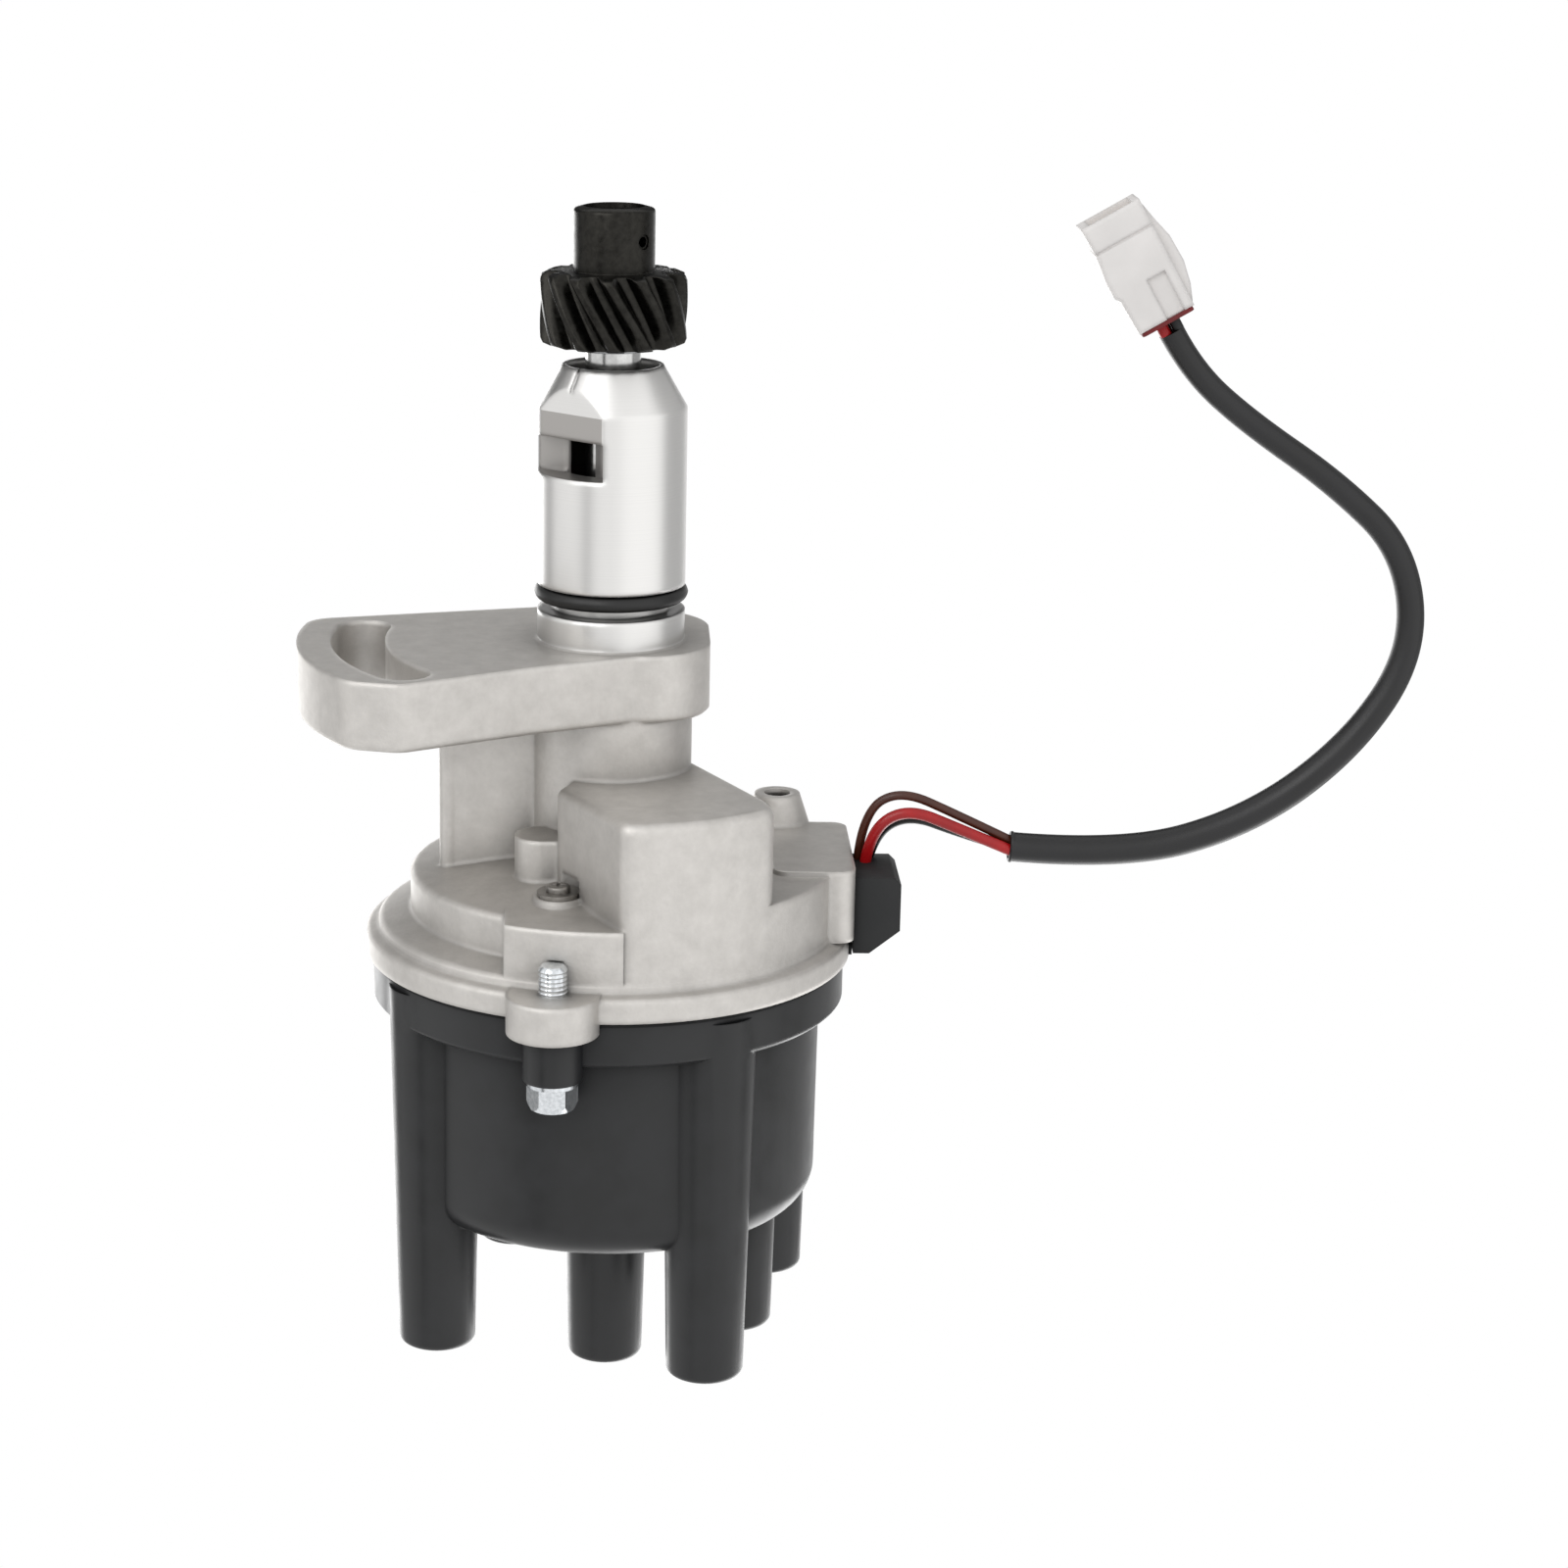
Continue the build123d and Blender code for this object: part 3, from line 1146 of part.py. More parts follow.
def main():
    os.makedirs("parts", exist_ok=True)
    write("housing", make_housing())
    write("shank_o_ring", make_o_ring())
    write("lower_bushing", make_bush(lower_bush_z))
    write("upper_bushing", make_bush(upper_bush_z))
    write("shaft_seal", make_seal())
    write("ignition_module", make_module())
    roof = MODULE_ROOF_Z + MODULE_HEIGHT
    depth = MODULE_HEIGHT + 2.0
    write("module_screws", group([small_screw(x, y, roof, depth) for x, y in module_screw_places]))
    write("pickup_base_plate", make_base_plate())
    lug_places = [polar(lug_pitch_r, angle) for angle in lug_angles]
    depth = PLATE_THICKNESS + M3_GRIP
    write("base_plate_screws", group([small_screw(x, y, plate_top_z, depth) for x, y in lug_places]))
    write("pickup_core", make_pickup_core())
    write("pickup_coil", make_pickup_coil())
    foot_top = plate_top_z + PICKUP_FOOT_THICKNESS
    depth = PICKUP_FOOT_THICKNESS + PLATE_THICKNESS
    places = [(x, pickup_foot_y) for x in pickup_screw_x]
    write("pickup_screws", group([small_screw(x, y, foot_top, depth) for x, y in places]))
    write("cap_gasket", make_gasket())
    write("distributor_cap", make_cap())
    write("lead_towers", group(make_towers()))
    write("outer_terminals", group([terminal_solid(angle) for angle in tower_angles]))
    write("centre_terminal", centre_terminal_solid())
    write("carbon_button", make_button())
    write("button_spring", make_button_spring())
    write("cap_screws", group([cap_screw(angle) for angle in ear_angles]))
    write("cap_screw_washers", group([cap_washer(angle) for angle in ear_angles]))
    write("ground_screw", make_ground_screw())
    write("ground_screw_washer", make_ground_washer())
    write("boss_plug", make_plug())
    write("drive_shaft", make_shaft())
    write("drive_gear", make_gear())
    write("gear_roll_pin", make_roll_pin())
    write("gear_washer", make_gear_washer())
    write("end_play_washer", make_end_washer())
    write("governor_plate", make_governor_plate())
    write("weight_pivots", group([weight_pivot(side) for side in (0.0, 180.0)]))
    write("governor_springs", group([governor_spring(side) for side in (0.0, 180.0)]))
    write("governor_weight_a", make_weight(0.0))
    write("governor_weight_b", make_weight(180.0))
    write("cam_sleeve", make_cam_sleeve())
    write("reluctor", make_reluctor())
    write("rotor_arm", make_rotor())
    write("rotor_electrode", make_electrode())
    write("rotor_set_screw", make_rotor_screw())
    write("sleeve_retaining_washer", make_retaining_washer())
    write("sleeve_retaining_screw", make_retaining_screw())
    write("wire_grommet", make_grommet())
    front_x = pad_x - GROMMET_DEPTH
    grommet_block = block(front_x, pad_x, GROMMET_FRONT_Y, GROMMET_BACK_Y, GROMMET_Z, GROMMET_Z + 5)
    lead_sleeve = cord("lead_sleeve", sleeve_points, SLEEVE_CORD_R)
    write("lead_sleeve", lead_sleeve)
    # Each wire is cut flush with the grommet's face and with the sleeve's end
    sleeve_heading = Vector(sleeve_points[1]) - Vector(sleeve_points[0])
    sleeve_start = Plane(origin=sleeve_points[0], z_dir=sleeve_heading)
    sleeve_end = sleeve_start * rod(2 * SLEEVE_CORD_R, 0, 5.0)
    wires = (
        ("brown_wire", brown_points, BROWN_WIRE_R),
        ("red_wire", red_points, POWER_WIRE_R),
        ("black_wire", black_points, POWER_WIRE_R),
    )
    for name, points, radius in wires:
        wire = cord(name, points, radius) - sleeve_end - grommet_block
        write(name, wire)
    write("brown_wire_tail", wire_tail("brown", BROWN_WIRE_R))
    write("red_wire_tail", wire_tail("red", POWER_WIRE_R))
    write("black_wire_tail", wire_tail("black", POWER_WIRE_R))
    write("connector_shell", make_connector())
    write("connector_pins", group(make_connector_pins()))
    write("connector_seal", make_connector_seal())


main()
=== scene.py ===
# %% [markdown]
# # An ignition distributor, seen as in the photograph
#
# The solids come from the CAD model. This lesson loads them as a fixed frame and then gives
# them what CAD leaves out: a camera, studio light, soft cords, small moulded and threaded
# pieces, and a finish for every metal, plastic and rubber.

import math

import bmesh
import bpy
from mathutils import Matrix, Vector


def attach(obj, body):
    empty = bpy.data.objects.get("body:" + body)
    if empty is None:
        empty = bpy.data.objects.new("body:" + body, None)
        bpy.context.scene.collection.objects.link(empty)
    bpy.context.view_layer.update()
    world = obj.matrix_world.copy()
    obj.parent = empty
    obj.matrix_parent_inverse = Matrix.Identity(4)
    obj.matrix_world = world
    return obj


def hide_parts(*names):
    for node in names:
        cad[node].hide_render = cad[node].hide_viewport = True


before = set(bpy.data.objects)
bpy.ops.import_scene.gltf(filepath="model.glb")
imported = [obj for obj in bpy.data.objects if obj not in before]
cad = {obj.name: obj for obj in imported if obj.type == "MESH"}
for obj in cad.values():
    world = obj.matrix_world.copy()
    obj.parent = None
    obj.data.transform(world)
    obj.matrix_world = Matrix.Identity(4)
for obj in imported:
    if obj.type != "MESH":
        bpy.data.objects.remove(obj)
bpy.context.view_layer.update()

# %% [markdown]
# Lengths on this object are thought of in millimetres, and Blender counts in metres, so one
# name turns one into the other. The camera comes first, because every later choice is judged
# through it. It stands 61 cm from the shaft on the -Y side and 7 cm lower than the gear, looks
# up a little, and is turned over, because the photograph shows the distributor with its gear
# at the top. The shaft is left of the middle of the frame, which a small lens shift gives
# without turning the camera sideways.

# %% Camera
MM = 0.001
FOCAL_PIXELS = 3500.0
FRAME_PIXELS = 1600.0
SENSOR_WIDTH = 36.0
NEAREST_SEEN = 10.0
CAMERA_DISTANCE = 612.8
CAMERA_HEIGHT = -145.2
CAMERA_PITCH = math.radians(15.77)
CAMERA_ROLL = math.radians(0.5)
SHAFT_PIXEL_X = 622.0

sight = Vector((0, math.cos(CAMERA_PITCH), math.sin(CAMERA_PITCH)))
up = Vector((0, math.sin(CAMERA_PITCH), -math.cos(CAMERA_PITCH)))
right = sight.cross(up)
rolled_up = up * math.cos(CAMERA_ROLL) - right * math.sin(CAMERA_ROLL)
rolled_right = right * math.cos(CAMERA_ROLL) + up * math.sin(CAMERA_ROLL)
turn = Matrix((rolled_right, rolled_up, -sight)).transposed()

lens = bpy.data.cameras.new("photo_camera")
lens.sensor_width = SENSOR_WIDTH
lens.lens = SENSOR_WIDTH * FOCAL_PIXELS / FRAME_PIXELS
lens.shift_x = (FRAME_PIXELS / 2 - SHAFT_PIXEL_X) / FRAME_PIXELS
lens.clip_start = NEAREST_SEEN * MM
camera = bpy.data.objects.new("photo_camera", lens)
place = Matrix.Translation(Vector((0, -CAMERA_DISTANCE, CAMERA_HEIGHT)) * MM)
camera.matrix_world = place @ turn.to_4x4()
bpy.context.scene.collection.objects.link(camera)
bpy.context.scene.camera = camera
bpy.context.scene.view_settings.view_transform = "Standard"
print("lens", round(lens.lens, 2), "mm, shift", round(lens.shift_x, 4))

# %% [markdown]
# Every finish below is a small tree of nodes, so a few helpers are enough: one turns a colour
# as a painter writes it (sRGB hex) into the linear numbers Blender works in, and one adds a
# node with its settings, its values and its links. A third starts a material with its plain
# values, which the following nodes then refine.


# %% Helpers for materials
def linear(hex_colour):
    """An sRGB colour such as #C9C6C0 as linear RGBA."""
    parts = [int(hex_colour[i : i + 2], 16) / 255 for i in (1, 3, 5)]
    return [p / 12.92 if p <= 0.04045 else ((p + 0.055) / 1.055) ** 2.4 for p in parts] + [1.0]


def add_node(tree, kind, values=None, links=None, **settings):
    """Adds a node: its settings, the values on its sockets and the sockets that feed it."""
    made = tree.nodes.new(kind)
    for name, value in settings.items():
        setattr(made, name, value)
    for name, value in (values or {}).items():
        made.inputs[name].default_value = value
    for name, socket in (links or {}).items():
        tree.links.new(socket, made.inputs[name])
    return made


def new_finish(name, colour, roughness, metallic=0.0):
    """A material with a Principled shader at its plain values."""
    made = bpy.data.materials.new(name)
    made.use_nodes = True
    shader = made.node_tree.nodes["Principled BSDF"]
    shader.inputs["Base Color"].default_value = linear(colour)
    shader.inputs["Roughness"].default_value = roughness
    shader.inputs["Metallic"].default_value = metallic
    return made, made.node_tree, shader


# %% [markdown]
# ## Light
#
# The photograph shows the object on plain white. A painted backdrop would do that too, but it
# would also have to be lit. Here the world itself is white to the camera and in reflections,
# and gives the surfaces a weaker plain light, which leaves room for lamps with a direction.
# The Light Path node tells which of the two a ray is asking for.

# %% World
PLAIN_LIGHT = 0.62

world = bpy.data.worlds.new("studio")
bpy.context.scene.world = world
world.use_nodes = True
sky = world.node_tree
sky.nodes.clear()
ray = add_node(sky, "ShaderNodeLightPath")
seen = add_node(
    sky, "ShaderNodeMath", operation="MAXIMUM",
    links={0: ray.outputs["Is Camera Ray"], 1: ray.outputs["Is Glossy Ray"]},
)
seen = add_node(
    sky, "ShaderNodeMath", operation="MAXIMUM",
    links={0: seen.outputs[0], 1: ray.outputs["Is Transmission Ray"]},
)
plain = add_node(sky, "ShaderNodeBackground", {"Color": linear("#FFFFFF"), "Strength": PLAIN_LIGHT})
white = add_node(sky, "ShaderNodeBackground", {"Color": linear("#FFFFFF"), "Strength": 1.0})
both = add_node(
    sky, "ShaderNodeMixShader",
    links={"Fac": seen.outputs[0], 1: plain.outputs[0], 2: white.outputs[0]},
)
add_node(sky, "ShaderNodeOutputWorld", links={"Surface": both.outputs[0]})
print("world of", len(sky.nodes), "nodes")

# %% [markdown]
# A pale floor lies just under the gear and carries the object in views from above. It is wide
# enough for its edge to be out of sight. The photograph's camera is below it, so its underside
# is clear as glass: Backfacing picks a transparent shader there. It stays out of the metal's
# reflections, which would otherwise lose the white room on that side.

# %% Floor
FLOOR_Z = -81.4
FLOOR_METRES = 40.0

bpy.ops.mesh.primitive_plane_add(size=FLOOR_METRES, location=(0, 0, FLOOR_Z * MM))
floor = bpy.context.object
floor.name = "studio_floor"
bpy.ops.object.transform_apply(location=True, rotation=True, scale=True)
# Matt white studio paint: it shows nothing but the object's soft shadow
pale, tree, shader = new_finish("pale_painted_floor", "#F4F3F1", 0.9)
under = add_node(tree, "ShaderNodeNewGeometry").outputs["Backfacing"]
clear = add_node(tree, "ShaderNodeBsdfTransparent").outputs[0]
one_sided = add_node(
    tree, "ShaderNodeMixShader", links={0: under, 1: shader.outputs[0], 2: clear}
)
tree.links.new(one_sided.outputs[0], tree.nodes["Material Output"].inputs["Surface"])
floor.data.materials.append(pale)
floor.visible_diffuse = False
floor.visible_glossy = False
floor.visible_shadow = False
print("floor at", FLOOR_Z, "mm")

# %% [markdown]
# Large soft lamps stand round the object as a photographer's soft boxes do. Their size matters
# more than their number: a lamp wider than the object gives light that fades gently round a
# turned shank, and no hard spots. The key lamp stands at the upper left of the turned-over
# picture, the fill lamp at its right, and the two behind the object serve the other views.


# %% Lamps
LAMPS_AIM = (0, 0, 30)


def soft_lamp(name, place_mm, size_mm, watts):
    """A square area lamp that faces the middle of the distributor."""
    light = bpy.data.lights.new(name, "AREA")
    light.size = size_mm * MM
    light.energy = watts
    lamp = bpy.data.objects.new(name, light)
    spot = Vector(place_mm) * MM
    lamp.location = spot
    way = Vector(LAMPS_AIM) * MM - spot
    lamp.rotation_euler = way.to_track_quat("-Z", "Y").to_euler()
    bpy.context.scene.collection.objects.link(lamp)


soft_lamp("key_lamp", (700, -900, -700), 900, 6.6)
soft_lamp("fill_lamp", (-900, -700, -150), 1800, 2.4)
soft_lamp("rear_lamp", (300, 900, 300), 900, 6.0)
soft_lamp("cap_side_lamp", (-500, 500, 900), 900, 6.0)
print("lamps", len(bpy.data.lights))

# %% [markdown]
# Polished metal is lit by what it mirrors, so in a studio grey cards stand beside it. In an
# all-white room the turned shank would look like plaster. These cards are seen in reflections
# alone, and they leave soft darker streaks on the shank, the screws and the gear's teeth.


# %% Grey cards
def dark_card(name, place_mm, width_mm, height_mm, colour):
    """A panel darker than the room, which only reflections see. It faces the shaft."""
    bpy.ops.mesh.primitive_plane_add(size=1.0)
    card = bpy.context.object
    card.name = name
    spot = Vector(place_mm) * MM
    card.scale = (width_mm * MM, height_mm * MM, 1.0)
    card.rotation_euler = (Vector((0, 0, spot.z)) - spot).to_track_quat("Z", "Y").to_euler()
    card.location = spot
    bpy.ops.object.transform_apply(location=True, rotation=True, scale=True)
    card.visible_camera = False
    card.visible_diffuse = False
    card.visible_shadow = False
    # Felt: wholly matt, so that it adds its tone to the metal and no light spot of its own
    card.data.materials.append(new_finish(name + "_felt", colour, 1.0)[0])


dark_card("left_dark_card", (330, -420, -60), 110, 900, "#7A7A7A")
dark_card("right_dark_card", (-426, 199, -60), 560, 900, "#C2C2C2")
dark_card("back_dark_card", (520, 240, -60), 220, 900, "#A2A2A2")
dark_card("rear_low_card", (0, 520, -310), 1500, 460, "#545454")

# %% [markdown]
# ## The lead
#
# Three insulated wires leave the rubber grommet, bend up against their own stiffness and run
# into a black vinyl sleeve, which hangs down in one long curve to the plug. Each is one
# smooth NURBS line through its given route, with a round section, because that is how
# a soft cable bends: nothing on it is straight or has a corner. Every point also has a width.
# The sleeve is a little wider where it starts and slimmer towards the plug, as the photograph
# shows.

# %% Cords
SLEEVE_ROUTE = [
    (-74.8, 0.0, 39.3),
    (-96.0, 0.0, 41.0),
    (-119.0, 0.0, 34.0),
    (-137.0, 0.0, 19.5),
    (-147.5, 0.0, 1.5),
    (-144.5, 0.0, -17.5),
    (-131.0, 0.0, -30.0),
    (-114.5, 0.0, -41.0),
    (-103.9, 0.0, -50.1),
    (-99.8, 0.0, -57.2),
]
BROWN_ROUTE = [
    (-46.6, 2.6, 43.0),
    (-47.3, 2.1, 33.6),
    (-54.0, 0.8, 28.6),
    (-65.0, 0.2, 33.4),
    (-75.3, 0.0, 38.3),
]
RED_ROUTE = [
    (-47.9, 0.9, 43.0),
    (-48.8, -0.3, 36.0),
    (-55.4, -1.0, 31.7),
    (-65.0, -1.1, 35.6),
    (-75.3, -1.2, 39.9),
]
BLACK_ROUTE = [
    (-48.6, 4.0, 43.0),
    (-49.9, 2.8, 37.2),
    (-56.2, 1.7, 33.6),
    (-65.0, 1.3, 36.8),
    (-75.3, 1.2, 40.0),
]


def lay_cord(name, route_mm, diameter_mm, widths=None):
    """A NURBS tube along the route. A point's radius is the tube's own, so its bounds are true."""
    curve = bpy.data.curves.new(name, "CURVE")
    curve.dimensions = "3D"
    line = curve.splines.new("NURBS")
    line.points.add(len(route_mm) - 1)
    for i, (point, target) in enumerate(zip(line.points, route_mm)):
        point.co = [v * MM for v in target] + [1.0]
        point.radius = diameter_mm / 2 * MM * (widths[i] if widths else 1.0)
    line.order_u = 3
    line.use_endpoint_u = True
    line.resolution_u = 24
    curve.bevel_depth = 1.0
    curve.bevel_resolution = 8
    curve.use_fill_caps = True
    cord = bpy.data.objects.new(name, curve)
    bpy.context.scene.collection.objects.link(cord)
    return cord


SLEEVE_WIDTHS = [1.06, 1.08, 1.1, 1.06, 0.98, 0.94, 0.92, 0.88, 0.88, 0.9]
sleeve = lay_cord("vinyl_sleeve", SLEEVE_ROUTE, 5.2, SLEEVE_WIDTHS)
brown = lay_cord("brown_lead_wire", BROWN_ROUTE, 1.7)
red = lay_cord("red_lead_wire", RED_ROUTE, 2.1)
black = lay_cord("black_lead_wire", BLACK_ROUTE, 2.1)
print("cords", [c.name for c in (sleeve, brown, red, black)])

# %% [markdown]
# ## Shaping tools
#
# Pieces are shaped by hand in edit mode: something is selected by its place, and one operator
# changes it. An operator acts on all that is selected, so each piece starts with nothing but
# the camera selected, which no mesh operator can change. Solids that only need softer corners
# are copied from the CAD node. The CAD mesh is loose triangles, so the copy is first merged
# into one skin and its flat faces are made whole, and then a Bevel modifier rounds its corners.


# %% Helpers for shaping
def work_on(piece):
    """Selects this piece alone."""
    bpy.ops.object.select_all(action="DESELECT")
    piece.select_set(True)
    bpy.context.view_layer.objects.active = piece


def pick(piece, kind, test):
    """Selects the vertices, edges or faces whose middle, in millimetres, passes the test."""
    bpy.ops.mesh.select_mode(type=kind)
    bpy.ops.mesh.select_all(action="DESELECT")
    shape = bmesh.from_edit_mesh(piece.data)
    for part in {"VERT": shape.verts, "EDGE": shape.edges, "FACE": shape.faces}[kind]:
        if kind == "VERT":
            middle = part.co
        elif kind == "EDGE":
            middle = (part.verts[0].co + part.verts[1].co) / 2
        else:
            middle = part.calc_center_median()
        if test((piece.matrix_world @ middle) / MM):
            part.select_set(True)
    shape.select_flush_mode()
    bmesh.update_edit_mesh(piece.data)


def settle(piece, name, body, smooth=35):
    """Puts the piece's place into its mesh, names it, smooths it and hangs it on a body."""
    work_on(piece)
    bpy.ops.object.transform_apply(location=True, rotation=True, scale=True)
    bpy.ops.object.shade_smooth_by_angle(angle=math.radians(smooth))
    piece.name = name
    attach(piece, body)
    shape = bmesh.new()
    shape.from_mesh(piece.data)
    gaps = sum(1 for edge in shape.edges if len(edge.link_faces) != 2)
    shape.free()
    print(name, "faces", len(piece.data.polygons), "edges that aren't closed", gaps)


def apply(piece, kind, **settings):
    """Adds a modifier with its settings and applies it at once."""
    made = piece.modifiers.new("step", kind)
    for name, value in settings.items():
        setattr(made, name, value)
    work_on(piece)
    bpy.ops.object.modifier_apply(modifier=made.name)


MERGE_WITHIN = 0.002
FLAT_WITHIN = math.radians(0.5)


def merged_copy(node, name):
    """A copy of a CAD solid as one closed skin with whole flat faces."""
    piece = bpy.data.objects.new(name, cad[node].data.copy())
    bpy.context.scene.collection.objects.link(piece)
    work_on(piece)
    bpy.ops.mesh.customdata_custom_splitnormals_clear()
    bpy.ops.object.mode_set(mode="EDIT")
    bpy.ops.mesh.select_all(action="SELECT")
    bpy.ops.mesh.remove_doubles(threshold=MERGE_WITHIN * MM)
    bpy.ops.mesh.dissolve_limited(angle_limit=FLAT_WITHIN)
    bpy.ops.object.mode_set(mode="OBJECT")
    return piece


# %% [markdown]
# ## The drive gear
#
# The real gear is one steel turning: a boss with a hole for the roll pin, and thirteen helical
# teeth that a hob cut as it rolled round the blank. Here one disc is given the outline of the
# teeth by pulling its rim points outwards, and the disc is then extruded up in twelve short
# steps, each turned a little further. A barrel with bevelled rims cuts the teeth to the
# chamfered ends that the blank had before it was cut. A fine bevel makes the tooth corners
# catch the light, as they do on the worn edges of the real gear. TOOTH_RADII goes from the
# middle of a tooth's tip to the middle of the gap, one twelfth of the pitch at a time.

# %% The toothed rim
GEAR_TEETH = 13
GEAR_LOW = -67.2
GEAR_HIGH = -54.1
GEAR_TWIST = math.radians(36.88)
TOOTH_RADII = (13.2, 13.2, 12.8, 11.6, 10.5, 10.3, 10.3)
PITCH_POINTS = 12
GEAR_STEPS = 12
TOOTH_CORNER = 0.16

work_on(camera)
bpy.ops.mesh.primitive_circle_add(
    vertices=PITCH_POINTS * GEAR_TEETH, radius=TOOTH_RADII[-1] * MM,
    fill_type="NGON", location=(0, 0, GEAR_LOW * MM),
)
gear = bpy.context.object
bpy.ops.object.mode_set(mode="EDIT")


def from_tooth(point):
    """How far round a rim point lies from the middle of its tooth, in twelfths of the pitch."""
    share = math.atan2(point.y, point.x) / (2 * math.pi) * GEAR_TEETH % 1.0
    return round(PITCH_POINTS * min(share, 1.0 - share))


for place, radius in enumerate(TOOTH_RADII):
    pick(gear, "VERT", lambda point: from_tooth(point) == place)
    grow = radius / TOOTH_RADII[-1]
    bpy.ops.transform.resize(value=(grow, grow, 1.0), center_override=(0, 0, GEAR_LOW * MM))
bpy.ops.mesh.select_all(action="SELECT")
step_up = (GEAR_HIGH - GEAR_LOW) / GEAR_STEPS * MM
for _ in range(GEAR_STEPS):
    bpy.ops.mesh.extrude_region_move(TRANSFORM_OT_translate={"value": (0, 0, step_up)})
    bpy.ops.transform.rotate(
        value=GEAR_TWIST / GEAR_STEPS, orient_axis="Z", center_override=(0, 0, 0)
    )
bpy.ops.mesh.select_all(action="SELECT")
bpy.ops.mesh.normals_make_consistent(inside=False)
bpy.ops.object.mode_set(mode="OBJECT")
print("rim with", GEAR_TEETH, "teeth, faces", len(gear.data.polygons))

# %% The blank's chamfered ends
BARREL_R = 13.4
BARREL_CHAMFER = 1.8

work_on(camera)
bpy.ops.mesh.primitive_cylinder_add(
    vertices=96, radius=BARREL_R * MM, depth=(GEAR_HIGH - GEAR_LOW) * MM,
    location=(0, 0, (GEAR_LOW + GEAR_HIGH) / 2 * MM),
)
barrel = bpy.context.object
bpy.ops.object.mode_set(mode="EDIT")
pick(barrel, "EDGE", lambda point: min(abs(point.z - GEAR_LOW), abs(point.z - GEAR_HIGH)) < 0.1)
bpy.ops.mesh.bevel(offset=BARREL_CHAMFER * MM, segments=2, affect="EDGES")
bpy.ops.object.mode_set(mode="OBJECT")
apply(gear, "BOOLEAN", operation="INTERSECT", object=barrel, solver="EXACT")
bpy.data.objects.remove(barrel)
apply(
    gear, "BEVEL", width=TOOTH_CORNER * MM, segments=2,
    limit_method="ANGLE", angle_limit=math.radians(40),
)
print("toothed rim faces", len(gear.data.polygons))

# %% [markdown]
# The same turning goes on beyond the teeth as a smooth boss, with a softened rim and a small
# chamfer where the shaft comes out. A hole for the roll pin goes right across it. On a lathe
# this is all one blank, so the boss is shaped from a cylinder, drilled, and united with the
# rim. The bore for the shaft is cut last, through both at once.

# %% The gear's boss
BOSS_R = 7.3
BOSS_LOW = -78.4
BOSS_HIGH = GEAR_LOW + 0.4
BOSS_RIM = 0.7
MOUTH_INSET = 1.5
MOUTH_R = 5.3
MOUTH_DEPTH = 2.2
MOUTH_CHAMFER = 0.3

work_on(camera)
bpy.ops.mesh.primitive_cylinder_add(
    vertices=64, radius=BOSS_R * MM, depth=(BOSS_HIGH - BOSS_LOW) * MM,
    location=(0, 0, (BOSS_HIGH + BOSS_LOW) / 2 * MM),
)
boss = bpy.context.object
bpy.ops.object.mode_set(mode="EDIT")
pick(boss, "EDGE", lambda point: abs(point.z - BOSS_LOW) < 0.1)
bpy.ops.mesh.bevel(offset=BOSS_RIM * MM, segments=3, affect="EDGES")
pick(boss, "FACE", lambda point: abs(point.z - BOSS_LOW) < 0.05)
bpy.ops.mesh.inset(thickness=MOUTH_INSET * MM)
bpy.ops.mesh.extrude_region_move(TRANSFORM_OT_translate={"value": (0, 0, MOUTH_DEPTH * MM)})
bpy.ops.mesh.select_mode(type="EDGE")
pick(boss, "EDGE", lambda point: abs(point.z - BOSS_LOW) < 0.02 and point.xy.length < MOUTH_R)
bpy.ops.mesh.bevel(offset=MOUTH_CHAMFER * MM, segments=2, affect="EDGES")
bpy.ops.object.mode_set(mode="OBJECT")
print("boss faces", len(boss.data.polygons))

# %% The pin's hole and the shaft's bore
PIN_HOLE_R = 1.36
PIN_Z = -72.8
PIN_WAY = math.radians(-137)
SHAFT_HOLE_R = 5.03
REAMER_Z = -66

work_on(camera)
bpy.ops.mesh.primitive_cylinder_add(
    vertices=32, radius=PIN_HOLE_R * MM, depth=40 * MM,
    location=(0, 0, PIN_Z * MM), rotation=(0, math.pi / 2, PIN_WAY),
)
drill = bpy.context.object
apply(boss, "BOOLEAN", operation="DIFFERENCE", object=drill, solver="EXACT")
bpy.data.objects.remove(drill)
apply(gear, "BOOLEAN", operation="UNION", object=boss, solver="EXACT")
bpy.data.objects.remove(boss)
work_on(camera)
bpy.ops.mesh.primitive_cylinder_add(
    vertices=64, radius=SHAFT_HOLE_R * MM, depth=60 * MM, location=(0, 0, REAMER_Z * MM)
)
reamer = bpy.context.object
apply(gear, "BOOLEAN", operation="DIFFERENCE", object=reamer, solver="EXACT")
bpy.data.objects.remove(reamer)
settle(gear, "helical_drive_gear", "shaft", smooth=32)
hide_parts("drive_gear")

# %% [markdown]
# ## The O-ring
#
# The seal on the shank is a ring of round rubber cord, moulded in two halves. In the photograph
# it is not squeezed into an engine, so it stands proud of the shank, and the CAD model has it
# at its squeezed size. A torus is the ring itself, and pulling its outermost line outwards by
# a few hundredths leaves the fine flash of the mould's parting line.

# %% O-ring
RING_MIDDLE_R = 12.55
RING_CORD_R = 1.45
RING_HEIGHT = -9.0
FLASH_GROWTH = 1.004

